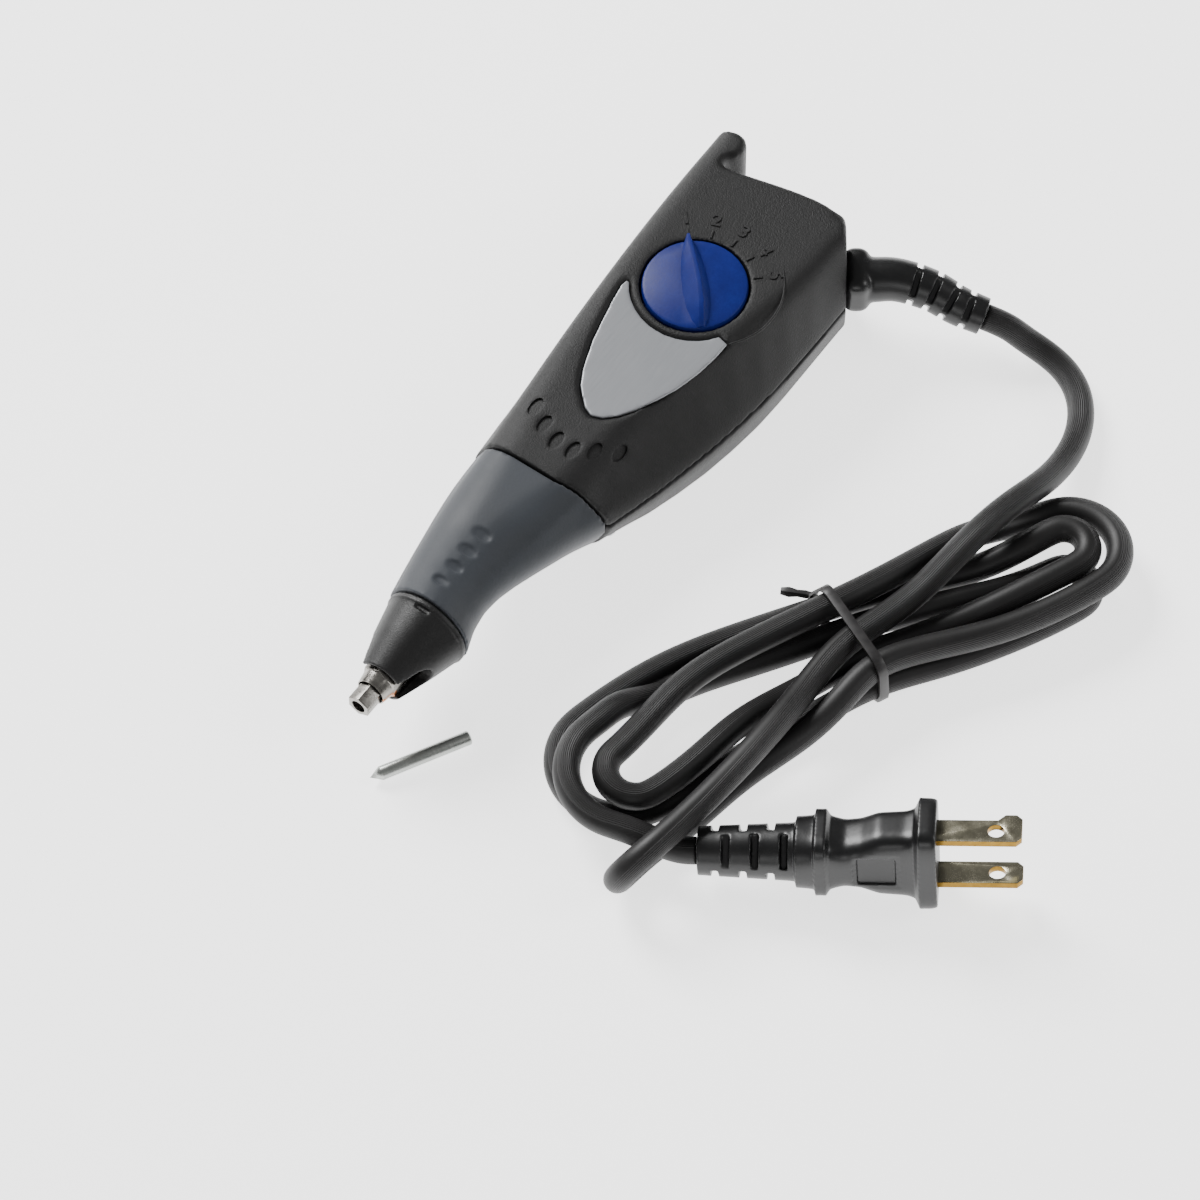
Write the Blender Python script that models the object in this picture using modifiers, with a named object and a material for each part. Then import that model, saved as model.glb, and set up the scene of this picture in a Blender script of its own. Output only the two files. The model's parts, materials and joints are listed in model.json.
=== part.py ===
"""Electric engraving pen with its cord and plug.

Metres, +Z up. The pen lies on its flat belly with the nose towards -Y and the dial up. The origin is
on the belly's plane, below the dial's axis. The spindle runs along Y at SPINDLE_HEIGHT.
"""

import math

import bmesh
import bpy
import numpy as np
from mathutils import Matrix, Vector

MM = 0.001

# Fits: GAP lies between pieces that seat on each other, OVERRUN is how far a cut runs past a face.
GAP = 0.3 * MM
OVERRUN = 3.0 * MM

# Body: half widths and heights are shares of these in the station tables.
REAR_REACH = 35.0 * MM
FRONT_REACH = 57.5 * MM
GRIP_LENGTH = 40.0 * MM
CAP_LENGTH = 17.5 * MM
BODY_HALF_WIDTH = 24.0 * MM
BODY_HEIGHT = 30.5 * MM
PARTING_SHARE = 0.508
SPINDLE_SHARE = 0.567
PARTING_HEIGHT = PARTING_SHARE * BODY_HEIGHT
SPINDLE_HEIGHT = SPINDLE_SHARE * BODY_HEIGHT
SHOULDER_ROUND = 3.6 * MM
SEAM_ROUND = 6.0 * MM
BELLY_ROUND = 6.0 * MM
REAR_EDGE_ROUND = 1.6 * MM
EDGE_MARGIN = 0.04 * MM
HOUSING_WALL = 2.2 * MM

# Where the cord leaves: a flat facet on the rear right corner. Its rear end is given as shares of the
# body's half width and the rear reach.
FACET_END_SHARES = (0.655, 1.0)
FACET_REAR = 7.5 * MM
FACET_FRONT = 10.0 * MM
FACET_TURN = math.radians(36)

# Grip sleeve, and the core of the housing that carries it.
GRIP_WALL = 2.0 * MM
GRIP_LIP = 0.35 * MM
JOINT_SLANT = 4.1 * MM
CORE_WALL = 1.6 * MM
DIMPLE_LENGTH = 5.4 * MM
DIMPLE_WIDTH = 3.0 * MM
DIMPLE_DEPTH = 0.7 * MM
DIMPLE_OFFSET = 0.6 * MM

# Neck of the housing, nose cap and its openings. The cap's rear radius as a share of the body's half
# width and height.
CAP_WIDTH_SHARE = 0.421
CAP_HEIGHT_SHARE = 0.331
NECK_RADIUS = 6.9 * MM
NECK_LENGTH = 5.5 * MM
CAP_REAR_RADIUS = 10.1 * MM
CAP_MIDDLE_RADIUS = 8.1 * MM
CAP_RIM_RADIUS = 5.6 * MM
CAP_BAND = 1.3 * MM
CAP_BAND_STEP = 0.25 * MM
CAP_RIM_BORE = 4.9 * MM
CAP_BORE = 5.2 * MM
CAP_CHAMBER_LENGTH = 7.6 * MM
CAP_SLOT_WIDTH = 5.5 * MM
CAP_SLOT_LENGTH = 8.3 * MM
LATCH_WIDTH = 3.8 * MM
LATCH_LENGTH = 1.2 * MM
LATCH_DEPTH = 0.8 * MM

# Stroke dial, its well, shaft, cam and clip.
DIAL_RADIUS = 11.7 * MM
DIAL_HEIGHT = 3.2 * MM
DIAL_PROUD = 0.5 * MM
DIAL_EDGE_ROUND = 0.8 * MM
RIDGE_HEIGHT = 2.8 * MM
RIDGE_WIDTH = 6.4 * MM
RIDGE_TOP_WIDTH = 1.0 * MM
POINTER_REACH = 0.7 * MM
POINTER_TURN = math.radians(132.5)
WELL_CLEARANCE = 0.45 * MM
WELL_FLOOR = 1.7 * MM
WELL_WALL = 1.5 * MM
DIAL_SHAFT_RADIUS = 2.2 * MM
DIAL_SHAFT_ENGAGE = 2.2 * MM
CLIP_THICKNESS = 0.6 * MM
CLIP_RADIUS = 4.0 * MM
CLIP_GROOVE = 0.4 * MM
CAM_RADIUS = 2.0 * MM
CAM_THROW = 0.5 * MM
CAM_CLEARANCE = 1.5 * MM

# Badge plate and its recess on the top face.
PLATE_THICKNESS = 0.8 * MM
PLATE_SUNK = 0.15 * MM
PLATE_REACH = 40.0 * MM
PLATE_HALF_WIDTH = 14.6 * MM
PLATE_DIAL_RADIUS = 14.4 * MM
PLATE_BAND = 1.0 * MM
PLATE_BAND_DEPTH = 0.35 * MM

# Oval recesses across the top, between plate and grip.
OVAL_LENGTH = 4.7 * MM
OVAL_WIDTH = 2.6 * MM
OVAL_DEPTH = 0.5 * MM

# Electromagnet: E core, bobbin and winding.
CORE_WIDTH_SHARE = 0.5625
CORE_HEIGHT_SHARE = 0.426
CORE_LIFT_SHARE = 0.2525
CORE_HALF_WIDTH = CORE_WIDTH_SHARE * BODY_HALF_WIDTH
CORE_HEIGHT = CORE_HEIGHT_SHARE * BODY_HEIGHT
CORE_LIFT = CORE_LIFT_SHARE * BODY_HEIGHT
CORE_FACE = 9.0 * MM
CORE_YOKE = 5.0 * MM
CORE_SIDE_LEG_SHARE = 0.296
CORE_CENTRE_LEG_SHARE = 0.667
CORE_SIDE_LEG = CORE_SIDE_LEG_SHARE * CORE_HALF_WIDTH
CORE_CENTRE_LEG = CORE_CENTRE_LEG_SHARE * CORE_HALF_WIDTH
BOBBIN_WALL = 1.0 * MM
BOBBIN_SETBACK = 0.8 * MM
BOBBIN_CLEARANCE = 1.07 * MM
WINDING_SHARE = 0.75
CORE_POST_RADIUS = 2.5 * MM

# Armature on a rocking lever.
PIVOT_Y = 3.7 * MM
PIVOT_HEIGHT_SHARE = 0.197
PIVOT_HEIGHT = PIVOT_HEIGHT_SHARE * BODY_HEIGHT
PIVOT_PIN_RADIUS = 1.25 * MM
PIVOT_PIN_END = 0.1 * MM
KNUCKLE_RADIUS = 2.3 * MM
LEVER_WIDTH_SHARE = 0.5
LEVER_HALF_WIDTH = LEVER_WIDTH_SHARE * BODY_HALF_WIDTH
LEVER_THICKNESS = 1.6 * MM
LEVER_CLEARANCE = 1.8 * MM
LEVER_FOOT = 9.0 * MM
LEVER_FOOT_THICKNESS = 2.0 * MM
ARMATURE_THICKNESS = 2.4 * MM
ARMATURE_DROP = 1.3 * MM
LUG_THICKNESS = 3.6 * MM
LUG_HALF_LENGTH = 3.0 * MM
ARM_OFFSET = 8.0 * MM
ARM_STATION = 4.0 * MM
SPRING_RADIUS = 1.9 * MM
SPRING_WIRE = 0.5 * MM
SPRING_TURNS = 5
BUMPER_RADIUS = 2.5 * MM

# Spindle, bushings, nut, collet and engraving point.
SPINDLE_RADIUS = 2.5 * MM
SPINDLE_TAIL_GAP = 0.4 * MM
SPINDLE_NOSE_RADIUS = 3.0 * MM
SPINDLE_NOSE_LENGTH = 5.6 * MM
NOSE_START = 8.9 * MM
SPINDLE_BORE = 1.9 * MM
SPINDLE_BORE_DEPTH = 14.0 * MM
FRONT_BUSHING_RADIUS = 5.0 * MM
FRONT_BUSHING_LENGTH = 8.0 * MM
FRONT_BUSHING_FLANGE = 6.4 * MM
BUSHING_FLANGE = 1.3 * MM
REAR_BUSHING_Y = -30.0 * MM
REAR_BUSHING_RADIUS = 4.3 * MM
REAR_BUSHING_LENGTH = 5.0 * MM
REAR_BUSHING_RIB = 3.0 * MM
NUT_FLATS = 7.9 * MM
NUT_LENGTH = 9.2 * MM
NUT_CONE_LENGTH = 2.8 * MM
NUT_FRONT_RADIUS = 3.45 * MM
NUT_CHAMFER = 0.5 * MM
COLLET_FLATS = 5.0 * MM
COLLET_LENGTH = 10.6 * MM
COLLET_BORE = 1.65 * MM
POINT_RADIUS = 1.6 * MM
POINT_LENGTH = 23.6 * MM
POINT_CONE = 2.6 * MM
POINT_TIP = (6.7 * MM, -128.2 * MM)
POINT_TURN = math.radians(61.4)

# Screws: radii, lengths and the posts that take them.
SCREW_RADIUS = 1.25 * MM
SCREW_HEAD_RADIUS = 2.3 * MM
SCREW_HEAD = 1.8 * MM
SCREW_COVER = 7.1 * MM
SCREW_RECESS = 2.6 * MM
POST_RADIUS = 3.9 * MM
CORE_SCREW_RADIUS = 1.2 * MM
CORE_SCREW_REACH = 4.6 * MM
CLAMP_SCREW_LENGTH = 7.5 * MM

# Strain relief, from the facet outwards and inwards.
RELIEF_FLANGE_WIDTH = 12.0 * MM
RELIEF_FLANGE_HEIGHT = 11.0 * MM
RELIEF_FLANGE = 5.6 * MM
RELIEF_FLANGE_ROUND = 2.0 * MM
RELIEF_NECK_RADIUS = 5.1 * MM
RELIEF_NECK = 5.4 * MM
RELIEF_SLEEVE = 21.0 * MM
RELIEF_END_RADIUS = 4.3 * MM
RELIEF_RUNS = (0.919, 0.305, -0.25)
RELIEF_SLOT = 1.6 * MM
RELIEF_SLOT_DEPTH = 1.7 * MM
RELIEF_SLOTS = 4
RELIEF_TAIL_RADIUS = 3.2 * MM
RELIEF_TAIL = 5.6 * MM
CLAMP_WIDTH = 3.0 * MM
CLAMP_HALF_SPAN = 6.2 * MM
CLAMP_THICKNESS = 1.6 * MM
CLAMP_EAR = 1.5 * MM
CLAMP_LEG = 1.0 * MM
CLAMP_SCREW_RADIUS = 0.9 * MM
CLAMP_SCREW_HEAD_RADIUS = 1.4 * MM
CLAMP_SCREW_HEAD = 1.2 * MM
WIRE_RADIUS = 0.5 * MM
WIRE_SPACING = 1.6 * MM
WIRE_CLEARANCE = 0.4 * MM

# Cord, twist tie and plug. The hank's frame: its waist, and the way that its loops lie.
CORD_DIAMETER = 6.0 * MM
CORD_LAYER = 6.6 * MM
CORD_LIFT = 3.1 * MM
HANK_WAIST = (72.7 * MM, -42.9 * MM)
HANK_TURN = math.radians(23.5)
WAIST_LIFT = 1.5 * MM
WAIST_REACH = 18.0 * MM
TIE_WIDTH = 2.2 * MM
TIE_THICKNESS = 0.8 * MM
TIE_ROOM = 0.95 * MM
TIE_KNOT = 7.0 * MM
TIE_KNOT_RADIUS = 1.3 * MM
PLUG_BACK = (76.7 * MM, -105.3 * MM, 9.3 * MM)
PLUG_TURN = math.radians(33)
PLUG_RISE = math.radians(3.7)
PLUG_LEAN = math.radians(13)
PLUG_LENGTH = 50.9 * MM
PLUG_SLOT = 1.6 * MM
PLUG_SLOT_DEPTH = 1.5 * MM
PLUG_SLOT_LENGTH = 8.0 * MM
BLADE_SPACING = 12.7 * MM
BLADE_LENGTH = 18.0 * MM
BLADE_ROOT = 6.0 * MM
BLADE_WIDTH = 6.3 * MM
BLADE_FLARE = 1.6 * MM
BLADE_THICKNESS = 1.5 * MM
BLADE_HOLE_RADIUS = 1.8 * MM
BLADE_HOLE_PLACE = 12.5 * MM
BLADE_CHAMFER = 1.2 * MM

# Counts of sides and of points, and the two distances that only the modelling needs.
SIDES_ROUND = 40
SIDES_NUT = 36
SIDES_MEDIUM = 24
SIDES_BORE = 20
SIDES_ARC = 13
SIDES_SMALL = 12
STEPS_CORNER = 4
RING_CORNERS = 6
RING_CORNER_POINTS = 4
GRIP_STATIONS = 9
WELD_DISTANCE = 0.01 * MM
SLOPE_STEP = 0.2 * MM


def clear_scene():
    for old in list(bpy.data.objects):
        bpy.data.objects.remove(old, do_unlink=True)


def new_collection(name):
    found = bpy.data.collections.new(name)
    bpy.context.scene.collection.children.link(found)
    return found


clear_scene()
PARTS = new_collection("electric_engraving_pen")
CUTTERS = new_collection("cutters")


def material(name, colour, roughness, metallic=0.0):
    made = bpy.data.materials.new(name)
    made.use_nodes = True
    shader = made.node_tree.nodes["Principled BSDF"]
    shader.inputs["Base Color"].default_value = (*colour, 1.0)
    shader.inputs["Roughness"].default_value = roughness
    shader.inputs["Metallic"].default_value = metallic
    made.diffuse_color = (*colour, 1.0)
    return made


BLACK_PLASTIC = material("black_plastic", (0.026, 0.025, 0.026), 0.55)
GRIP_RUBBER = material("grey_rubber", (0.085, 0.098, 0.115), 0.7)
DIAL_BLUE = material("dial_blue", (0.022, 0.055, 0.28), 0.35)
PLATE_SILVER = material("plate_silver", (0.52, 0.53, 0.55), 0.3, 0.6)
NUT_STEEL = material("nut_steel", (0.62, 0.6, 0.57), 0.28, 1.0)
STEEL = material("steel", (0.45, 0.45, 0.46), 0.35, 1.0)
IRON = material("laminated_iron", (0.2, 0.2, 0.21), 0.45, 1.0)
BRONZE = material("bushing_bronze", (0.55, 0.34, 0.14), 0.4, 1.0)
COPPER = material("winding_copper", (0.6, 0.23, 0.08), 0.35, 1.0)
BOBBIN_NYLON = material("bobbin_nylon", (0.7, 0.66, 0.55), 0.5)
CORD_VINYL = material("cord_vinyl", (0.03, 0.03, 0.03), 0.42)
SOFT_RUBBER = material("soft_rubber", (0.02, 0.02, 0.02), 0.8)
NICKEL = material("blade_nickel", (0.66, 0.62, 0.52), 0.22, 1.0)
WIRE_WHITE = material("wire_white", (0.7, 0.7, 0.68), 0.5)


def place(obj, coat=None, parent=None, helper=False):
    """Links an object to the part's collection, or as a hidden cutter to the other one."""
    if helper:
        CUTTERS.objects.link(obj)
        obj.hide_render = True
        obj.display_type = "WIRE"
    else:
        PARTS.objects.link(obj)
    if coat:
        obj.data.materials.append(coat)
    if parent:
        obj.parent = parent
        obj.matrix_parent_inverse = Matrix.Translation(-parent.location)
    return obj


def from_bmesh(name, shape):
    mesh = bpy.data.meshes.new(name)
    shape.to_mesh(mesh)
    shape.free()
    return bpy.data.objects.new(name, mesh)


def box(name, low, high, **kinds):
    """A box between two corners."""
    shape = bmesh.new()
    size = [b - a for a, b in zip(low, high)]
    centre = [(a + b) / 2 for a, b in zip(low, high)]
    bmesh.ops.create_cube(shape, size=1, matrix=Matrix.Translation(centre) @ Matrix.Diagonal((*size, 1)))
    return place(from_bmesh(name, shape), **kinds)


def cylinder(name, radius, low, high, centre=(0, 0), axis="Z", sides=SIDES_SMALL, **kinds):
    """A cylinder from low to high along an axis, with its centre in the other two coordinates."""
    shape = bmesh.new()
    across, forward = Matrix.Rotation(math.pi / 2, 4, "Y"), Matrix.Rotation(math.pi / 2, 4, "X")
    turn = {"X": across, "Y": forward, "Z": Matrix()}[axis]
    middle = (low + high) / 2
    at = {"X": (middle, *centre), "Y": (centre[0], middle, centre[1]), "Z": (*centre, middle)}[axis]
    bmesh.ops.create_cone(
        shape,
        cap_ends=True,
        segments=sides,
        radius1=radius,
        radius2=radius,
        depth=high - low,
        matrix=Matrix.Translation(at) @ turn,
    )
    return place(from_bmesh(name, shape), **kinds)


def turned(name, profile, closed=False, sides=SIDES_MEDIUM, **kinds):
    """A profile of (radius, height), outer side running down, turned round Z."""
    mesh = bpy.data.meshes.new(name)
    edges = [(i, i + 1) for i in range(len(profile) - 1)]
    if closed:
        edges.append((len(profile) - 1, 0))
    mesh.from_pydata([(r, 0, h) for r, h in profile], edges, [])
    obj = bpy.data.objects.new(name, mesh)
    screw = obj.modifiers.new("turn", "SCREW")
    screw.angle = math.tau
    screw.steps = sides
    screw.render_steps = sides
    screw.use_merge_vertices = True
    screw.merge_threshold = 0.0001
    screw.use_smooth_shade = True
    return place(obj, **kinds)


def turned_forward(name, profile, closed=False, sides=SIDES_MEDIUM, **kinds):
    """A turned piece on the spindle's axis. The profile gives (radius, distance forward of the dial axis)."""
    obj = turned(name, profile, closed, sides, **kinds)
    obj.rotation_euler = (math.pi / 2, 0, 0)
    obj.location = (0, 0, SPINDLE_HEIGHT)
    return obj


def boolean(obj, other, operation):
    cut = obj.modifiers.new(other.name, "BOOLEAN")
    cut.operation = operation
    cut.object = other
    cut.solver = "EXACT"


def subtract(obj, *others):
    for other in others:
        boolean(obj, other, "DIFFERENCE")


def unite(obj, *others):
    for other in others:
        boolean(obj, other, "UNION")


def loft(name, rings, closed=False, **kinds):
    """Rings of equally many points joined in order, with ends capped, or joined round to the first."""
    shape = bmesh.new()
    loops = [[shape.verts.new(point) for point in ring] for ring in rings]
    pairs = list(zip(loops, loops[1:]))
    if closed:
        pairs.append((loops[-1], loops[0]))
    for one, two in pairs:
        for i in range(len(one)):
            j = (i + 1) % len(one)
            shape.faces.new((one[i], one[j], two[j], two[i]))
    if not closed:
        caps = [shape.faces.new(loops[0][::-1]), shape.faces.new(loops[-1])]
        bmesh.ops.triangulate(shape, faces=caps)
    bmesh.ops.recalc_face_normals(shape, faces=shape.faces)
    obj = from_bmesh(name, shape)
    obj.data.shade_smooth()
    obj.data.set_sharp_from_angle(angle=math.radians(35))
    return place(obj, **kinds)


def plate(name, outline, thickness, **kinds):
    """A flat outline as a filled curve, half its thickness either side of Z=0."""
    curve = bpy.data.curves.new(name, "CURVE")
    curve.dimensions = "2D"
    curve.fill_mode = "BOTH"
    curve.extrude = thickness / 2
    spline = curve.splines.new("POLY")
    spline.points.add(len(outline) - 1)
    for point, (x, y) in zip(spline.points, outline):
        point.co = (x, y, 0, 1)
    spline.use_cyclic_u = True
    return place(bpy.data.objects.new(name, curve), **kinds)


def tube(name, path, radius, resolution=2, radii=None, cyclic=False, **kinds):
    """A round tube along a path, with filled ends. radii are shares of the radius at each point."""
    curve = bpy.data.curves.new(name, "CURVE")
    curve.dimensions = "3D"
    curve.bevel_depth = radius
    curve.bevel_resolution = resolution
    curve.use_fill_caps = True
    spline = curve.splines.new("POLY")
    spline.points.add(len(path) - 1)
    for i, point in enumerate(spline.points):
        point.co = (*path[i], 1)
        point.radius = radii[i] if radii else 1
    spline.use_cyclic_u = cyclic
    spline.use_smooth = True
    return place(bpy.data.objects.new(name, curve), **kinds)


def as_mesh(curve):
    """The same piece as a mesh with welded caps, so that it can be cut."""
    bpy.context.view_layer.update()
    graph = bpy.context.evaluated_depsgraph_get()
    mesh = bpy.data.meshes.new_from_object(curve.evaluated_get(graph))
    shape = bmesh.new()
    shape.from_mesh(mesh)
    bmesh.ops.remove_doubles(shape, verts=shape.verts, dist=WELD_DISTANCE)
    bmesh.ops.recalc_face_normals(shape, faces=shape.faces)
    shape.to_mesh(mesh)
    shape.free()
    name = curve.name
    obj = bpy.data.objects.new(name + "_mesh", mesh)
    obj.matrix_world = curve.matrix_world
    obj.hide_render = curve.hide_render
    obj.display_type = curve.display_type
    for holder in curve.users_collection:
        holder.objects.link(obj)
    if curve.parent:
        obj.parent = curve.parent
        obj.matrix_parent_inverse = curve.matrix_parent_inverse.copy()
    bpy.data.objects.remove(curve, do_unlink=True)
    obj.name = name
    return obj


def rounded(obj, radius, segments=3, angle=math.radians(50)):
    bevel = obj.modifiers.new("round", "BEVEL")
    bevel.width = radius
    bevel.segments = segments
    bevel.limit_method = "ANGLE"
    bevel.angle_limit = angle
    return obj


def smooth_path(points, steps):
    """A centripetal curve through hand-chosen points, read at this many steps between each two."""
    points = [np.array(p, float) for p in points]
    ends = [2 * points[0] - points[1]] + points + [2 * points[-1] - points[-2]]
    path = []
    for before, start, stop, after in zip(ends, ends[1:], ends[2:], ends[3:]):
        knots = [0.0]
        for one, two in ((before, start), (start, stop), (stop, after)):
            knots.append(knots[-1] + math.sqrt(np.linalg.norm(two - one)))
        for step in range(steps):
            at = knots[1] + (knots[2] - knots[1]) * step / steps
            layers = [before, start, stop, after]
            for width in (1, 2, 3):
                layers = [
                    ((knots[i + width] - at) * a + (at - knots[i]) * b) / (knots[i + width] - knots[i])
                    if width < 3
                    else ((knots[2] - at) * a + (at - knots[1]) * b) / (knots[2] - knots[1])
                    for i, (a, b) in enumerate(zip(layers, layers[1:]))
                ]
            path.append(layers[0])
    path.append(points[-1])
    return path


# Body sections. Each row gives, along its stretch: half widths left and right at the seam, top and bottom
# heights, the shoulders and belly corners as shares of those half widths, and how far it is an ellipse.
HOUSING_SHARES = (
    (1.22, 0.980, 1.040, 1.000, 0.000, 0.82, 0.78, 0.81, 0.88, 0.00),
    (0.63, 0.970, 1.045, 1.000, 0.000, 0.82, 0.77, 0.81, 0.88, 0.00),
    (0.26, 0.955, 1.055, 1.000, 0.000, 0.81, 0.71, 0.81, 0.88, 0.00),
    (-0.12, 0.915, 1.045, 1.000, 0.000, 0.80, 0.59, 0.81, 0.89, 0.00),
    (-0.43, 0.860, 0.965, 0.987, 0.010, 0.79, 0.46, 0.80, 0.88, 0.05),
    (-0.68, 0.805, 0.850, 0.967, 0.040, 0.78, 0.40, 0.78, 0.85, 0.15),
    (-0.92, 0.765, 0.735, 0.944, 0.092, 0.75, 0.42, 0.70, 0.77, 0.35),
    (-1.00, 0.745, 0.690, 0.935, 0.115, 0.74, 0.46, 0.66, 0.74, 0.45),
)
GRIP_SHARES = (
    (0.14, 0.715, 0.570, 0.930, 0.160, 0.72, 0.52, 0.64, 0.70, 0.62),
    (0.38, 0.645, 0.435, 0.922, 0.245, 0.70, 0.60, 0.62, 0.66, 0.85),
    (0.66, 0.545, 0.340, 0.912, 0.320, 0.70, 0.64, 0.62, 0.64, 1.00),
    (0.84, 0.492, 0.348, 0.904, 0.305, 0.70, 0.66, 0.64, 0.64, 1.00),
    (1.00, 0.446, 0.432, 0.912, 0.222, 0.70, 0.70, 0.66, 0.66, 1.00),
)


def body_rows():
    rows = []
    for row in HOUSING_SHARES:
        reach = REAR_REACH if row[0] > 0 else FRONT_REACH
        rows.append((row[0] * reach, *row[1:]))
    for row in GRIP_SHARES:
        rows.append((-FRONT_REACH - row[0] * GRIP_LENGTH, *row[1:]))
    return rows


BODY_ROWS = body_rows()


def row_at(y):
    """The body's section values at a place along Y, on a smooth curve through the rows."""
    rows = BODY_ROWS
    index = max(i for i in range(len(rows) - 1) if rows[i][0] >= y - WELD_DISTANCE or i == 0)
    a, b = np.array(rows[index]), np.array(rows[index + 1])
    before = np.array(rows[max(index - 1, 0)])
    after = np.array(rows[min(index + 2, len(rows) - 1)])
    span = b[0] - a[0]
    share = min(max((y - a[0]) / span, 0), 1)
    slope_a = (b - before) / (b[0] - before[0]) * span
    slope_b = (after - a) / (after[0] - a[0]) * span
    square, cube = share**2, share**3
    return (
        (2 * cube - 3 * square + 1) * a
        + (cube - 2 * square + share) * slope_a
        + (3 * square - 2 * cube) * b
        + (cube - square) * slope_b
    )


def extent_at(y):
    """How far the section reaches left, right, up and down. Towards the nose it follows the cap's size."""
    _, left, right, top, bottom, *_ = row_at(y)
    share = min(max((-FRONT_REACH - y) / GRIP_LENGTH, 0), 1)
    wide = BODY_HALF_WIDTH + (CAP_REAR_RADIUS / CAP_WIDTH_SHARE - BODY_HALF_WIDTH) * share
    high = BODY_HEIGHT + (CAP_REAR_RADIUS / CAP_HEIGHT_SHARE - BODY_HEIGHT) * share
    middle = SPINDLE_HEIGHT - SPINDLE_SHARE * high
    return -left * wide, right * wide, middle + top * high, middle + bottom * high


def corners_at(y, inset):
    """The section's six corners, moved in by inset, from the top right corner round to the top left."""
    _, _, _, _, _, top_left, top_right, low_left, low_right, _ = row_at(y)
    left, right, top, bottom = extent_at(y)
    corners = [
        Vector((top_right * right, top)),
        Vector((right, PARTING_HEIGHT)),
        Vector((low_right * right, bottom)),
        Vector((low_left * left, bottom)),
        Vector((left, PARTING_HEIGHT)),
        Vector((top_left * left, top)),
    ]
    moved = []
    for i, corner in enumerate(corners):
        one = (corner - corners[i - 1]).normalized()
        two = (corners[(i + 1) % RING_CORNERS] - corner).normalized()
        middle = one - two
        half = math.acos(max(-1, min(1, one.dot(two)))) / 2
        moved.append(corner - middle.normalized() * inset / math.cos(half))
    return moved


# Where the slant of the joint between housing and grip starts, as a share of the half width there, and
# how far from the joint it has faded out, as a share of the grip.
SLANT_START_SHARE = 0.17
SLANT_FADE_SHARE = 0.4
SLANT_POWER = 1.3


def joint_slant(x, y):
    """How far back the body's surface is drawn near that joint, on the right flank."""
    half = HOUSING_SHARES[-1][2] * BODY_HALF_WIDTH
    start = SLANT_START_SHARE * half
    across = min(max((x - start) / (half - start), 0), 1)
    near = max(0, 1 - abs(y + FRONT_REACH) / (SLANT_FADE_SHARE * GRIP_LENGTH))
    return JOINT_SLANT * across**SLANT_POWER * near


# The longest that a corner's round may reach along a side, and where round sections start.
CORNER_REACH_SHARE = 0.45
RING_START = math.radians(60)


def section(y, inset=0.0):
    """A ring of the body's outer surface, or of one moved in by inset."""
    corners = corners_at(y, inset)
    left, right, top, bottom = extent_at(y)
    roundness = row_at(y)[-1]
    centre_x, centre_z = (right + left) / 2, (top + bottom) / 2
    half_x, half_z = (right - left) / 2 - inset, (top - bottom) / 2 - inset
    radii = (SHOULDER_ROUND, SEAM_ROUND, BELLY_ROUND, BELLY_ROUND, SEAM_ROUND, SHOULDER_ROUND)
    ring = []
    count = RING_CORNERS * RING_CORNER_POINTS
    for i, corner in enumerate(corners):
        radius = max(radii[i] - inset, GAP)
        back = corners[i - 1] - corner
        ahead = corners[(i + 1) % RING_CORNERS] - corner
        turn = math.pi - back.angle(ahead)
        reach = min(radius * math.tan(turn / 2), CORNER_REACH_SHARE * min(back.length, ahead.length))
        radius = reach / math.tan(turn / 2)
        start = corner + back.normalized() * reach
        centre_way = (back.normalized() + ahead.normalized()).normalized()
        centre = corner + centre_way * math.hypot(reach, radius)
        spoke = start - centre
        for k in range(RING_CORNER_POINTS):
            angle = -turn * k / (RING_CORNER_POINTS - 1)
            point = centre + Vector(
                (
                    spoke.x * math.cos(angle) - spoke.y * math.sin(angle),
                    spoke.x * math.sin(angle) + spoke.y * math.cos(angle),
                )
            )
            index = i * RING_CORNER_POINTS + k
            middle = (RING_CORNER_POINTS - 1) / 2
            way = RING_START - math.tau * (index - middle) / count
            round_x = centre_x + half_x * math.cos(way)
            round_z = centre_z + half_z * math.sin(way)
            x = point.x + (round_x - point.x) * roundness
            z = point.y + (round_z - point.y) * roundness
            ring.append((x, y + joint_slant(x, y), z))
    return ring


def circle(y, radius):
    """A ring of as many points as a body section, on the spindle's axis."""
    count = RING_CORNERS * RING_CORNER_POINTS
    middle = (RING_CORNER_POINTS - 1) / 2
    ring = []
    for index in range(count):
        way = RING_START - math.tau * (index - middle) / count
        ring.append((radius * math.cos(way), y, SPINDLE_HEIGHT + radius * math.sin(way)))
    return ring


def stretch(start, stop, count):
    return [start + (stop - start) * i / (count - 1) for i in range(count)]


REAR_END = HOUSING_SHARES[0][0] * REAR_REACH
GRIP_JOINT = -FRONT_REACH
GRIP_FRONT = -FRONT_REACH - GRIP_LENGTH
CORE_INSET = GRIP_WALL + GAP
NECK_FRONT = GRIP_FRONT - NECK_LENGTH
NOSE_RIM = GRIP_FRONT - CAP_LENGTH
FACET_WAY = Vector((math.cos(FACET_TURN), math.sin(FACET_TURN)))
FACET_SIDE = Vector((-math.sin(FACET_TURN), math.cos(FACET_TURN)))
FACET_END = Vector((FACET_END_SHARES[0] * BODY_HALF_WIDTH, FACET_END_SHARES[1] * REAR_REACH))
FACET_MIDDLE = FACET_END - FACET_SIDE * FACET_REAR


def facet_point(outward, along, height=PARTING_HEIGHT):
    """A place by its distance outward from the cord's facet, and along it from the cord's axis."""
    at = FACET_MIDDLE + FACET_WAY * outward + FACET_SIDE * along
    return Vector((at.x, at.y, height))


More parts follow.
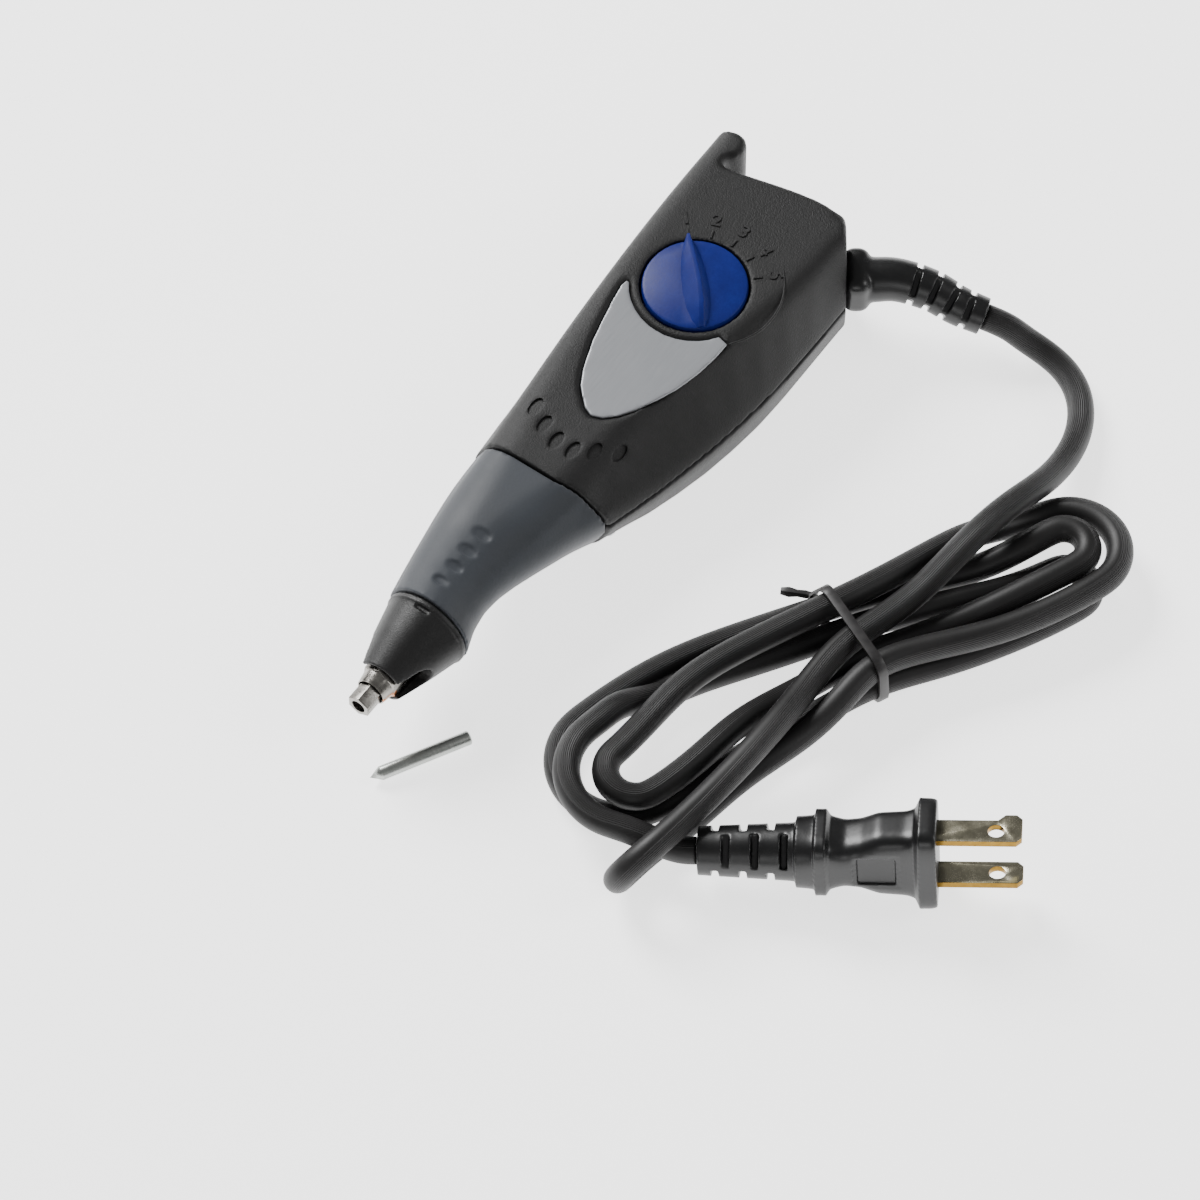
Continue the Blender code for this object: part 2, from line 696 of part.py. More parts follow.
# The rear edge seen from above: the hang hook, its notch and the slanted rear, as shares of the body's
# half width and the rear reach.
HOOK_SHARES = (
    (-1.30, -3.70),
    (-1.30, 0.60),
    (-1.02, 0.84),
    (-0.985, 0.92),
    (-0.920, 0.99),
    (-0.845, 1.052),
    (-0.755, 1.094),
    (-0.660, 1.112),
    (-0.580, 1.100),
    (-0.528, 1.064),
    (-0.508, 1.012),
    (-0.532, 0.965),
    (-0.575, 0.925),
    (-0.592, 0.890),
    (-0.590, 0.862),
    (-0.550, 0.852),
    (-0.420, 0.868),
    (-0.250, 0.898),
    (-0.050, 0.933),
    (0.150, 0.964),
    (0.330, 0.984),
    (0.450, 0.990),
    (0.530, 0.984),
)
NOTCH_FOOT = 14


def rear_outline():
    outline = [(x * BODY_HALF_WIDTH, y * REAR_REACH) for x, y in HOOK_SHARES]
    outline += [tuple(facet_point(0, end).xy) for end in (FACET_REAR, -FACET_FRONT)]
    outline += [(-x, y) for x, y in outline[1::-1]]
    return outline


def offset_outline(outline, distance):
    """The outline of a plate moved out by a distance, corners kept."""
    area = sum(a[0] * b[1] - b[0] * a[1] for a, b in zip(outline, outline[1:] + outline[:1]))
    side = 1 if area > 0 else -1
    moved = []
    for i, point in enumerate(outline):
        here = Vector(point)
        one = (here - Vector(outline[i - 1])).normalized()
        two = (Vector(outline[(i + 1) % len(outline)]) - here).normalized()
        out = Vector((one.y + two.y, -one.x - two.x)).normalized() * side
        half = one.angle(two) / 2
        moved.append(tuple(here + out * distance / max(math.cos(half), 0.5)))
    return moved


def rear_envelope():
    """The rear outline as a solid whose upper and lower edges are rounded."""
    outline = rear_outline()
    rings = []
    levels = 4
    for top in (False, True):
        for step in range(levels):
            angle = math.pi / 2 * step / (levels - 1)
            if top:
                angle = math.pi / 2 - angle
            inset = REAR_EDGE_ROUND * (1 - math.sin(angle))
            rise = REAR_EDGE_ROUND * (1 - math.cos(angle))
            height = BODY_HEIGHT + EDGE_MARGIN - rise if top else rise - EDGE_MARGIN
            if inset < WELD_DISTANCE:
                inset = 0
            rings.append([(x, y, height) for x, y in offset_outline(outline, -inset)])
    return loft("rear_envelope", rings, helper=True)


def rear_cavity():
    """The room inside the rear edge, one wall in from it. It stays clear of the hook."""
    width = HOOK_SHARES[0][0] * BODY_HALF_WIDTH
    outline = [(width, HOOK_SHARES[0][1] * REAR_REACH), (width, HOOK_SHARES[NOTCH_FOOT][1] * REAR_REACH)]
    outline += [(x * BODY_HALF_WIDTH, y * REAR_REACH) for x, y in HOOK_SHARES[NOTCH_FOOT:]]
    outline += [tuple(facet_point(0, end).xy) for end in (FACET_REAR, -FACET_FRONT)]
    outline += [(-x, y) for x, y in outline[1::-1]]
    return as_mesh(plate("rear_cavity", offset_outline(outline, -HOUSING_WALL), 3 * BODY_HEIGHT, helper=True))


# Screw places, as shares of the body's half width and of the rear or front reach.
SCREW_SHARES = {
    "housing_screw_rear": (0.167, 0.86),
    "housing_screw_side": (0.73, -0.07),
    "housing_screw_front_left": (-0.467, -0.835),
    "housing_screw_front_right": (0.46, -0.835),
}


def screw_place(name):
    x, y = SCREW_SHARES[name]
    return x * BODY_HALF_WIDTH, y * (REAR_REACH if y > 0 else FRONT_REACH)


# Places of the core's screws and front posts, as shares of a side leg in from its outer face.
CORE_SCREW_SHARE = 0.7
CORE_SUPPORT_SHARE = 0.375

SCREW_TOP = SCREW_RECESS + SCREW_HEAD
SCREW_LENGTH = BODY_HEIGHT - SCREW_COVER - SCREW_TOP
CORE_SCREW_LENGTH = CORE_HEIGHT + CORE_SCREW_REACH
DIAL_TOP = BODY_HEIGHT + DIAL_PROUD
DIAL_BASE = DIAL_TOP - DIAL_HEIGHT
WELL_BASE = DIAL_BASE - GAP
WELL_RADIUS = DIAL_RADIUS + WELL_CLEARANCE
CORE_BACK = screw_place("housing_screw_rear")[1] - POST_RADIUS - GAP
CORE_LEG = CORE_BACK - CORE_YOKE - CORE_FACE
CORE_MIDDLE = CORE_LIFT + CORE_HEIGHT / 2
CORE_SCREW_X = CORE_HALF_WIDTH - CORE_SIDE_LEG * CORE_SCREW_SHARE
CORE_SCREW_Y = CORE_BACK - CORE_YOKE / 2
CORE_SUPPORT_X = CORE_HALF_WIDTH - CORE_SIDE_LEG * CORE_SUPPORT_SHARE
CORE_SUPPORT_Y = CORE_FACE + CORE_POST_RADIUS
CLAMP_INWARD = HOUSING_WALL + GAP + CLAMP_WIDTH / 2
CLAMP_BASE = PARTING_HEIGHT - RELIEF_TAIL_RADIUS - GAP
LUG_START = LEVER_HALF_WIDTH + 2 * GAP
PIVOT_PIN_LENGTH = 2 * (LUG_START + LUG_THICKNESS - PIVOT_PIN_END)
LEVER_TOP = WELL_BASE - WELL_FLOOR - LEVER_CLEARANCE
BOBBIN_FLANGE = WELL_BASE - WELL_FLOOR - BOBBIN_CLEARANCE - CORE_LIFT - CORE_HEIGHT
WINDING_DEPTH = WINDING_SHARE * BOBBIN_FLANGE
CORE_SCREW_PLACES = [(side * CORE_SCREW_X, CORE_SCREW_Y) for side in (-1, 1)]
CLAMP_SCREW_PLACES = [facet_point(-CLAMP_INWARD, side * CLAMP_HALF_SPAN).xy for side in (-1, 1)]


def cavity():
    """The room inside both shells: what isn't wall, post, rib, lug or well."""
    core_start, core_stop = GRIP_JOINT + HOUSING_WALL, GRIP_FRONT + CORE_WALL
    rings = [section(y, HOUSING_WALL) for y in stretch(REAR_END, core_start, 12)]
    rings += [section(y, CORE_INSET + CORE_WALL) for y in stretch(core_start, core_stop, 7)]
    bore = FRONT_BUSHING_RADIUS + GAP
    rings += [circle(core_stop, bore), circle(NECK_FRONT - OVERRUN, bore)]
    room = loft("cavity", rings, helper=True)
    boolean(room, rear_cavity(), "INTERSECT")
    below, above = -OVERRUN, BODY_HEIGHT + OVERRUN
    for name in SCREW_SHARES:
        at = screw_place(name)
        subtract(room, cylinder("post_" + name, POST_RADIUS, below, above, at, helper=True))
    half_rib = REAR_BUSHING_RIB / 2
    subtract(
        room,
        box(
            "bushing_rib",
            (-BODY_HALF_WIDTH, REAR_BUSHING_Y - half_rib, below),
            (BODY_HALF_WIDTH, REAR_BUSHING_Y + half_rib, above),
            helper=True,
        ),
        cylinder(
            "well_boss",
            WELL_RADIUS + WELL_WALL,
            WELL_BASE - WELL_FLOOR,
            above,
            sides=SIDES_ROUND,
            helper=True,
        ),
        cylinder(
            "spring_post",
            SPRING_RADIUS + SPRING_WIRE,
            PARTING_HEIGHT,
            above,
            (ARM_OFFSET, -ARM_STATION),
            helper=True,
        ),
    )
    for side in (-1, 1):
        label = "left" if side < 0 else "right"
        for part, x, y in (("rear", CORE_SCREW_X, CORE_SCREW_Y), ("front", CORE_SUPPORT_X, CORE_SUPPORT_Y)):
            at = (side * x, y)
            name = f"core_post_{part}_{label}"
            subtract(room, cylinder(name, CORE_POST_RADIUS, below, CORE_LIFT - GAP, at, helper=True))
        ends = sorted((side * LUG_START, side * (LUG_START + LUG_THICKNESS)))
        lug = box(
            f"pivot_lug_{label}",
            (ends[0], PIVOT_Y - LUG_HALF_LENGTH, below),
            (ends[1], PIVOT_Y + LUG_HALF_LENGTH, PIVOT_HEIGHT + KNUCKLE_RADIUS),
            helper=True,
        )
        subtract(room, lug)
    for index, at in enumerate(CLAMP_SCREW_PLACES):
        post = cylinder(f"clamp_post_{index}", CLAMP_EAR, below, CLAMP_BASE - GAP, tuple(at), helper=True)
        subtract(room, post)
    return room


def along_facet(obj):
    """Stands an upright piece built at the origin along the cord's axis, its top outward."""
    obj.rotation_euler = (0, math.pi / 2, FACET_TURN)
    obj.location = facet_point(0, 0)
    return obj


def top_at(x, y):
    """The height of the body's upper surface."""
    ring = [p for p in section(y) if p[2] > PARTING_HEIGHT]
    ring.sort(key=lambda p: p[0])
    return float(np.interp(x, [p[0] for p in ring], [p[2] for p in ring]))


def on_top(x, y):
    """A frame on the upper surface: its Z axis points out, its Y axis runs towards the rear."""
    rise_x = (top_at(x + SLOPE_STEP, y) - top_at(x - SLOPE_STEP, y)) / (2 * SLOPE_STEP)
    rise_y = (top_at(x, y + SLOPE_STEP) - top_at(x, y - SLOPE_STEP)) / (2 * SLOPE_STEP)
    out = Vector((-rise_x, -rise_y, 1)).normalized()
    across = Vector((0, 1, 0)).cross(out).normalized()
    back = out.cross(across)
    frame = Matrix((across, back, out)).transposed().to_4x4()
    frame.translation = (x, y, top_at(x, y))
    return frame


def ellipsoid(name, across, along, depth, frame):
    shape = bmesh.new()
    size = Matrix.Diagonal((across / 2, along / 2, depth, 1))
    bmesh.ops.create_uvsphere(shape, u_segments=16, v_segments=8, radius=1, matrix=size)
    obj = place(from_bmesh(name, shape), helper=True)
    obj.matrix_world = frame
    return obj


# Middles of the oval recesses, as shares of the half width and the front reach.
OVAL_SHARES = (
    (-0.42, -0.783),
    (-0.246, -0.826),
    (-0.058, -0.857),
    (0.125, -0.857),
    (0.290, -0.812),
    (0.455, -0.745),
)


def oval_recesses():
    cutters = []
    for index, (x, y) in enumerate(OVAL_SHARES):
        shape = bmesh.new()
        bmesh.ops.create_cone(
            shape,
            cap_ends=True,
            segments=SIDES_SMALL,
            radius1=1,
            radius2=1,
            depth=2 * OVAL_DEPTH,
            matrix=Matrix.Diagonal((OVAL_WIDTH / 2, OVAL_LENGTH / 2, 1, 1)),
        )
        cutter = place(from_bmesh(f"oval_{index}", shape), helper=True)
        cutter.matrix_world = on_top(x * BODY_HALF_WIDTH, y * FRONT_REACH)
        cutters.append(cutter)
    return cutters


# Sides of the badge plate from its right horn round the tip to its left horn, as shares of its half width
# and of its reach in front of the dial's axis.
PLATE_SHARES = (
    (1.00, 0.210),
    (0.985, 0.330),
    (0.940, 0.453),
    (0.840, 0.600),
    (0.705, 0.720),
    (0.560, 0.830),
    (0.400, 0.920),
    (0.233, 0.977),
    (0.070, 1.000),
    (-0.082, 0.977),
    (-0.220, 0.930),
    (-0.356, 0.880),
    (-0.480, 0.800),
    (-0.582, 0.705),
    (-0.680, 0.600),
    (-0.760, 0.480),
    (-0.840, 0.350),
    (-0.897, 0.235),
    (-0.877, 0.190),
)
PLATE_ARC = (math.radians(212), math.radians(327))


def plate_outline():
    outline = [(x * PLATE_HALF_WIDTH, -y * PLATE_REACH) for x, y in PLATE_SHARES]
    for angle in stretch(*PLATE_ARC, SIDES_ARC):
        outline.append((PLATE_DIAL_RADIUS * math.cos(angle), PLATE_DIAL_RADIUS * math.sin(angle)))
    return outline


def lay_on_top(obj, sunk):
    """Lays a flat piece along the slope of the top face, its middle plane this far below the face."""
    near, far = -PLATE_DIAL_RADIUS, -PLATE_REACH
    fall = extent_at(near)[2] - extent_at(far)[2]
    slope = math.atan2(fall, near - far)
    obj.rotation_euler = (slope, 0, 0)
    obj.location = (0, 0, extent_at(near)[2] - near * math.tan(slope) - sunk)
    return obj


def badge_recesses():
    cutters = []
    for name, room, deep in (
        ("badge_pocket", GAP, PLATE_SUNK + PLATE_THICKNESS + GAP),
        ("badge_band", PLATE_BAND, PLATE_BAND_DEPTH),
    ):
        cutter = as_mesh(plate(name, offset_outline(plate_outline(), room), deep + OVERRUN, helper=True))
        cutters.append(lay_on_top(cutter, (deep - OVERRUN) / 2))
    return cutters


def badge_plate():
    obj = plate("badge_plate", plate_outline(), PLATE_THICKNESS, coat=PLATE_SILVER)
    return lay_on_top(obj, PLATE_SUNK + PLATE_THICKNESS / 2)


def housing_shell(name, room, envelope, other_half):
    rings = [section(y) for y in stretch(REAR_END, GRIP_JOINT, 13)]
    rings += [section(y, CORE_INSET) for y in stretch(GRIP_JOINT, GRIP_FRONT, GRIP_STATIONS)]
    rings += [circle(GRIP_FRONT, NECK_RADIUS), circle(NECK_FRONT, NECK_RADIUS)]
    shell = loft(name, rings, coat=BLACK_PLASTIC)
    boolean(shell, envelope, "INTERSECT")
    subtract(shell, room, other_half)
    return shell


def half_space(name, low, high):
    """A slab wider than the body, that cuts one shell off at the parting plane."""
    wide = 2 * BODY_HALF_WIDTH
    return box(name, (-wide, 2 * NOSE_RIM, low), (wide, -NOSE_RIM, high), helper=True)


def housing():
    """Two shells that meet at the parting plane, screwed together from below."""
    room, envelope = cavity(), rear_envelope()
    half_gap = GAP / 2
    below = half_space("below_parting", -BODY_HEIGHT, PARTING_HEIGHT + half_gap)
    above = half_space("above_parting", PARTING_HEIGHT - half_gap, 2 * BODY_HEIGHT)
    upper = housing_shell("housing_upper", room, envelope, below)
    lower = housing_shell("housing_lower", room, envelope, above)

    well = cylinder(
        "dial_well", WELL_RADIUS, WELL_BASE, BODY_HEIGHT + OVERRUN, sides=SIDES_ROUND, helper=True
    )
    shaft_hole = cylinder(
        "shaft_hole", DIAL_SHAFT_RADIUS + GAP, WELL_BASE - WELL_FLOOR - OVERRUN, BODY_HEIGHT, helper=True
    )
    subtract(upper, well, shaft_hole, *badge_recesses(), *oval_recesses())

    seat = cylinder(
        "bushing_seat",
        REAR_BUSHING_RADIUS + GAP,
        REAR_BUSHING_Y - REAR_BUSHING_RIB,
        REAR_BUSHING_Y + REAR_BUSHING_RIB,
        (0, SPINDLE_HEIGHT),
        axis="Y",
        sides=SIDES_MEDIUM,
        helper=True,
    )
    port = along_facet(
        cylinder(
            "cord_port",
            RELIEF_TAIL_RADIUS + GAP,
            -HOUSING_WALL - OVERRUN,
            OVERRUN,
            sides=SIDES_MEDIUM,
            helper=True,
        )
    )
    subtract(upper, seat, port)
    subtract(lower, seat, port)

    for name in SCREW_SHARES:
        at = screw_place(name)
        tip = SCREW_TOP + SCREW_LENGTH + GAP
        head = cylinder("recess_" + name, SCREW_HEAD_RADIUS + GAP, -OVERRUN, SCREW_TOP + GAP, at, helper=True)
        shank = cylinder("bore_" + name, SCREW_RADIUS + GAP, -OVERRUN, tip, at, helper=True)
        subtract(upper, shank)
        subtract(lower, head, shank)

    pin = PIVOT_PIN_RADIUS + GAP
    reach = PIVOT_PIN_LENGTH / 2 + GAP
    slot = cylinder("pin_seat", pin, -reach, reach, (PIVOT_Y, PIVOT_HEIGHT), axis="X", helper=True)
    mouth = box(
        "pin_mouth",
        (-reach, PIVOT_Y - pin, PIVOT_HEIGHT),
        (reach, PIVOT_Y + pin, PIVOT_HEIGHT + KNUCKLE_RADIUS + OVERRUN),
        helper=True,
    )
    subtract(lower, slot, mouth)
    low = CORE_LIFT + CORE_HEIGHT - CORE_SCREW_LENGTH
    for side, at in zip(("left", "right"), CORE_SCREW_PLACES):
        bore = cylinder(f"core_bore_{side}", CORE_SCREW_RADIUS + GAP, low, CORE_LIFT, at, helper=True)
        subtract(lower, bore)
    reach = CLAMP_HALF_SPAN + CLAMP_EAR + GAP
    half = max(CLAMP_WIDTH / 2, CLAMP_EAR) + GAP
    room = box(
        "clamp_room",
        (-RELIEF_TAIL_RADIUS - CLAMP_LEG - 2 * GAP, -reach, -CLAMP_INWARD - half),
        (PARTING_HEIGHT - CLAMP_BASE + half_gap, reach, -CLAMP_INWARD + half),
        helper=True,
    )
    along_facet(room)
    subtract(upper, room)
    subtract(lower, room)
    low = CLAMP_BASE + CLAMP_THICKNESS - CLAMP_SCREW_LENGTH - GAP
    for index, at in enumerate(CLAMP_SCREW_PLACES):
        bore = cylinder(
            f"clamp_bore_{index}", CLAMP_SCREW_RADIUS + GAP, low, CLAMP_BASE, tuple(at), helper=True
        )
        subtract(lower, bore)


# A screw's head and tip: top width and edge height of the head, and width of the blunt tip.
HEAD_TOP_SHARE = 0.7
HEAD_EDGE_SHARE = 0.55
SCREW_TIP_SHARE = 0.4


def screw(name, radius, head_radius, head, length, at, seat, downward):
    """A pan head screw. seat is the height of the face under its head."""
    profile = [
        (0, head),
        (head_radius * HEAD_TOP_SHARE, head),
        (head_radius, head * HEAD_EDGE_SHARE),
        (head_radius, 0),
        (radius, 0),
        (radius, -length + radius),
        (radius * SCREW_TIP_SHARE, -length),
        (0, -length),
    ]
    obj = turned(name, profile, sides=SIDES_SMALL, coat=STEEL)
    if not downward:
        obj.rotation_euler = (math.pi, 0, 0)
    obj.location = (*at, seat)
    return obj


def housing_screws():
    for name in SCREW_SHARES:
        at = screw_place(name)
        screw(name, SCREW_RADIUS, SCREW_HEAD_RADIUS, SCREW_HEAD, SCREW_LENGTH, at, SCREW_TOP, False)


# Dimples on the grip: place along it, and size, as shares. The grip's lip fades within a share of it.
DIMPLE_SHARES = ((0.50, 1.0), (0.625, 0.95), (0.745, 0.88), (0.86, 0.8))
LIP_SHARE = 0.25


def grip():
    """A rubber sleeve over the housing's core, closed all round."""
    stations = stretch(GRIP_JOINT - GAP, GRIP_FRONT, GRIP_STATIONS)
    lip = [GRIP_LIP * max(0, 1 - share / LIP_SHARE) for share in stretch(0, 1, len(stations))]
    outer = [section(y, inset) for y, inset in zip(stations, lip)]
    inner = [section(y, GRIP_WALL) for y in stations[::-1]]
    sleeve = loft("grip", outer + inner, closed=True, coat=GRIP_RUBBER)
    for index, share in enumerate(DIMPLE_SHARES):
        y = GRIP_JOINT - share[0] * GRIP_LENGTH
        across, along = DIMPLE_LENGTH * share[1], DIMPLE_WIDTH * share[1]
        frame = on_top(-DIMPLE_OFFSET, y)
        subtract(sleeve, ellipsoid(f"dimple_{index}", across, along, DIMPLE_DEPTH, frame))


def nose_cap():
    """A moulded cone over the housing's neck, slotted at the rim to reach the nut."""
    rear, rim = -GRIP_FRONT + GAP, -NOSE_RIM
    chamber = -GRIP_FRONT + CAP_CHAMBER_LENGTH
    middle = (rear + rim) / 2
    profile = [
        (CAP_RIM_RADIUS, rim),
        ((CAP_RIM_RADIUS + CAP_MIDDLE_RADIUS) / 2, (rim + middle) / 2),
        (CAP_MIDDLE_RADIUS, middle),
        (CAP_REAR_RADIUS - CAP_BAND_STEP, rear + CAP_BAND),
        (CAP_REAR_RADIUS, rear + CAP_BAND),
        (CAP_REAR_RADIUS, rear),
        (NECK_RADIUS + GAP, rear),
        (NECK_RADIUS + GAP, chamber),
        (CAP_BORE, chamber + CAP_BAND),
        (CAP_RIM_BORE, rim),
    ]
    cap = turned_forward("nose_cap", profile, closed=True, sides=SIDES_ROUND, coat=BLACK_PLASTIC)
    half = CAP_SLOT_WIDTH / 2
    wide = CAP_REAR_RADIUS + OVERRUN
    middle_y = NOSE_RIM + CAP_SLOT_LENGTH - half
    at = (middle_y, SPINDLE_HEIGHT)
    rounded_end = cylinder("nose_slot_end", half, -wide, wide, at, axis="X", helper=True)
    straight = box(
        "nose_slot",
        (-wide, NOSE_RIM - OVERRUN, SPINDLE_HEIGHT - half),
        (wide, middle_y, SPINDLE_HEIGHT + half),
        helper=True,
    )
    latch_y = GRIP_FRONT - GAP - CAP_BAND - LATCH_LENGTH
    latch = box(
        "latch_notch",
        (-LATCH_WIDTH / 2, latch_y, SPINDLE_HEIGHT + CAP_REAR_RADIUS - LATCH_DEPTH - CAP_BAND_STEP),
        (LATCH_WIDTH / 2, latch_y + LATCH_LENGTH, SPINDLE_HEIGHT + CAP_REAR_RADIUS + OVERRUN),
        helper=True,
    )
    subtract(cap, straight, rounded_end, latch)


def axis_empty(name, at):
    empty = bpy.data.objects.new(name, None)
    empty.location = at
    empty.empty_display_size = DIAL_RADIUS
    PARTS.objects.link(empty)
    return empty


# The dial's ridge from its tail to the pointer: place along the radius, width, height and sideways bow.
RIDGE_SHARES = (
    (-0.97, 0.30, 0.10, 0.00),
    (-0.80, 0.62, 0.62, -0.30),
    (-0.50, 0.90, 0.92, -0.62),
    (-0.15, 1.00, 1.00, -0.70),
    (0.25, 0.92, 1.00, -0.50),
    (0.60, 0.72, 0.92, -0.20),
    (0.85, 0.50, 0.78, 0.00),
    (1.00, 0.16, 0.55, 0.00),
)
# Where the middle of a rounded edge lies, as a share of the round.
EDGE_BULGE_SHARE = 0.3


def dial(axis):
    """The stroke dial: a disc in its well, with a finger ridge that ends in the pointer."""
    edge = DIAL_EDGE_ROUND
    hub = DIAL_SHAFT_RADIUS + GAP
    socket = DIAL_BASE + DIAL_SHAFT_ENGAGE + GAP
    profile = [
        (0, DIAL_TOP),
        (DIAL_RADIUS - edge, DIAL_TOP),
        (DIAL_RADIUS - edge * EDGE_BULGE_SHARE, DIAL_TOP - edge * EDGE_BULGE_SHARE),
        (DIAL_RADIUS, DIAL_TOP - edge),
        (DIAL_RADIUS, DIAL_BASE),
        (hub, DIAL_BASE),
        (hub, socket),
        (0, socket),
    ]
    disc = turned("stroke_dial", profile, sides=SIDES_ROUND, coat=DIAL_BLUE, parent=axis)
    rings = []
    base = BODY_HEIGHT + GAP
    for along, width, height, bow in RIDGE_SHARES:
        reach = DIAL_RADIUS + (POINTER_REACH if along == 1 else 0)
        x = along * reach
        half = width * RIDGE_WIDTH / 2
        top = min(RIDGE_TOP_WIDTH / 2, half / 2)
        high = DIAL_TOP + height * RIDGE_HEIGHT
        shift = bow * RIDGE_TOP_WIDTH
        rings.append([(x, -half, base), (x, half, base), (x, shift + top, high), (x, shift - top, high)])
    ridge = loft("dial_ridge", rings, helper=True)
    ridge.rotation_euler = (0, 0, POINTER_TURN)
    unite(disc, ridge)


def dial_shaft(axis):
    """The dial's shaft, with the groove for its clip and the eccentric cam at its foot."""
    clip_top = WELL_BASE - WELL_FLOOR - GAP
    groove_top = clip_top + GAP
    groove_foot = clip_top - CLIP_THICKNESS - GAP
    cam_top = groove_foot - GAP
    cam_foot = SPINDLE_HEIGHT + SPINDLE_RADIUS + CAM_CLEARANCE
    groove = DIAL_SHAFT_RADIUS - CLIP_GROOVE
    profile = [
        (0, DIAL_BASE + DIAL_SHAFT_ENGAGE),
        (DIAL_SHAFT_RADIUS, DIAL_BASE + DIAL_SHAFT_ENGAGE),
        (DIAL_SHAFT_RADIUS, groove_top),
        (groove, groove_top),
        (groove, groove_foot),
        (DIAL_SHAFT_RADIUS, groove_foot),
        (DIAL_SHAFT_RADIUS, cam_top - GAP),
        (0, cam_top - GAP),
    ]
    shaft = turned("dial_shaft", profile, sides=SIDES_MEDIUM, coat=STEEL, parent=axis)
    at = (0, CAM_THROW)
    unite(shaft, cylinder("cam", CAM_RADIUS, cam_foot, cam_top, at, sides=SIDES_MEDIUM, helper=True))
    ring = [
        (CLIP_RADIUS, clip_top),
        (CLIP_RADIUS, clip_top - CLIP_THICKNESS),
        (groove + GAP, clip_top - CLIP_THICKNESS),
        (groove + GAP, clip_top),
    ]
    turned("dial_clip", ring, closed=True, sides=SIDES_MEDIUM, coat=STEEL, parent=axis)


def field_core():
    """The E shaped iron, poles towards the armature, on posts of the lower shell."""
    side, inner, centre = CORE_HALF_WIDTH, CORE_HALF_WIDTH - CORE_SIDE_LEG, CORE_CENTRE_LEG / 2
    columns = (-side, -inner, -centre, centre, inner, side)
    rows = (CORE_FACE, CORE_FACE + CORE_LEG, CORE_BACK)
    shape = bmesh.new()
    grid = [[shape.verts.new((x, y, CORE_LIFT)) for y in rows] for x in columns]
    for i, (one, two) in enumerate(zip(grid, grid[1:])):
        for j in range(len(rows) - 1):
            slot = i % 2 and j == 0
            if not slot:
                shape.faces.new((one[j], two[j], two[j + 1], one[j + 1]))
    raised = bmesh.ops.extrude_face_region(shape, geom=shape.faces[:])["geom"]
    corners = [item for item in raised if isinstance(item, bmesh.types.BMVert)]
    bmesh.ops.translate(shape, verts=corners, vec=(0, 0, CORE_HEIGHT))
    bmesh.ops.recalc_face_normals(shape, faces=shape.faces)
    core = place(from_bmesh("field_core", shape), coat=IRON)
    low, high = CORE_LIFT - OVERRUN, CORE_LIFT + CORE_HEIGHT + OVERRUN
    for label, at in zip(("left", "right"), CORE_SCREW_PLACES):
        subtract(core, cylinder(f"core_hole_{label}", CORE_SCREW_RADIUS + GAP, low, high, at, helper=True))
        screw(
            f"core_screw_{label}",
            CORE_SCREW_RADIUS,
            SCREW_HEAD_RADIUS - GAP,
            SCREW_HEAD,
            CORE_SCREW_LENGTH - GAP,
            at,
            CORE_LIFT + CORE_HEIGHT + GAP,
            True,
        )


def rectangle(y, half_x, half_z, corner=0.0, steps=1):
    """A ring round the core's centre leg, with its corners rounded."""
    ring = []
    for i, (sx, sz) in enumerate(((1, 1), (-1, 1), (-1, -1), (1, -1))):
        for k in range(steps):
            angle = math.pi / 2 * (i + (k / (steps - 1) if steps > 1 else 0.5))
            x = sx * (half_x - corner) + corner * math.cos(angle)
            z = sz * (half_z - corner) + corner * math.sin(angle)
            ring.append((x, y, CORE_MIDDLE + z))
    return ring


def bobbin_and_winding():
    """The coil's former on the centre leg, and the copper wound on it."""
    front = CORE_FACE + BOBBIN_SETBACK
    rear = CORE_FACE + CORE_LEG - GAP
    bore = (CORE_CENTRE_LEG / 2 + GAP, CORE_HEIGHT / 2 + GAP)
    wall = tuple(v + BOBBIN_WALL for v in bore)
    flange = (CORE_HALF_WIDTH - CORE_SIDE_LEG - 2 * GAP, CORE_HEIGHT / 2 + BOBBIN_FLANGE)
    spool = [
        (front, flange),
        (front + BOBBIN_WALL, flange),
        (front + BOBBIN_WALL, wall),
        (rear - BOBBIN_WALL, wall),
        (rear - BOBBIN_WALL, flange),
        (rear, flange),
        (rear, bore),
        (front, bore),
    ]
    loft("coil_bobbin", [rectangle(y, *half) for y, half in spool], closed=True, coat=BOBBIN_NYLON)
    inner = tuple(v + GAP for v in wall)
    outer = (flange[0] - GAP, wall[1] + WINDING_DEPTH)
    start, stop = front + BOBBIN_WALL + GAP, rear - BOBBIN_WALL - GAP
    corner = WINDING_DEPTH / 2
    wound = [
        rectangle(start, *outer, corner, STEPS_CORNER),
        rectangle(stop, *outer, corner, STEPS_CORNER),
        rectangle(stop, *inner, GAP, STEPS_CORNER),
        rectangle(start, *inner, GAP, STEPS_CORNER),
    ]
    loft("coil_winding", wound, closed=True, coat=COPPER)


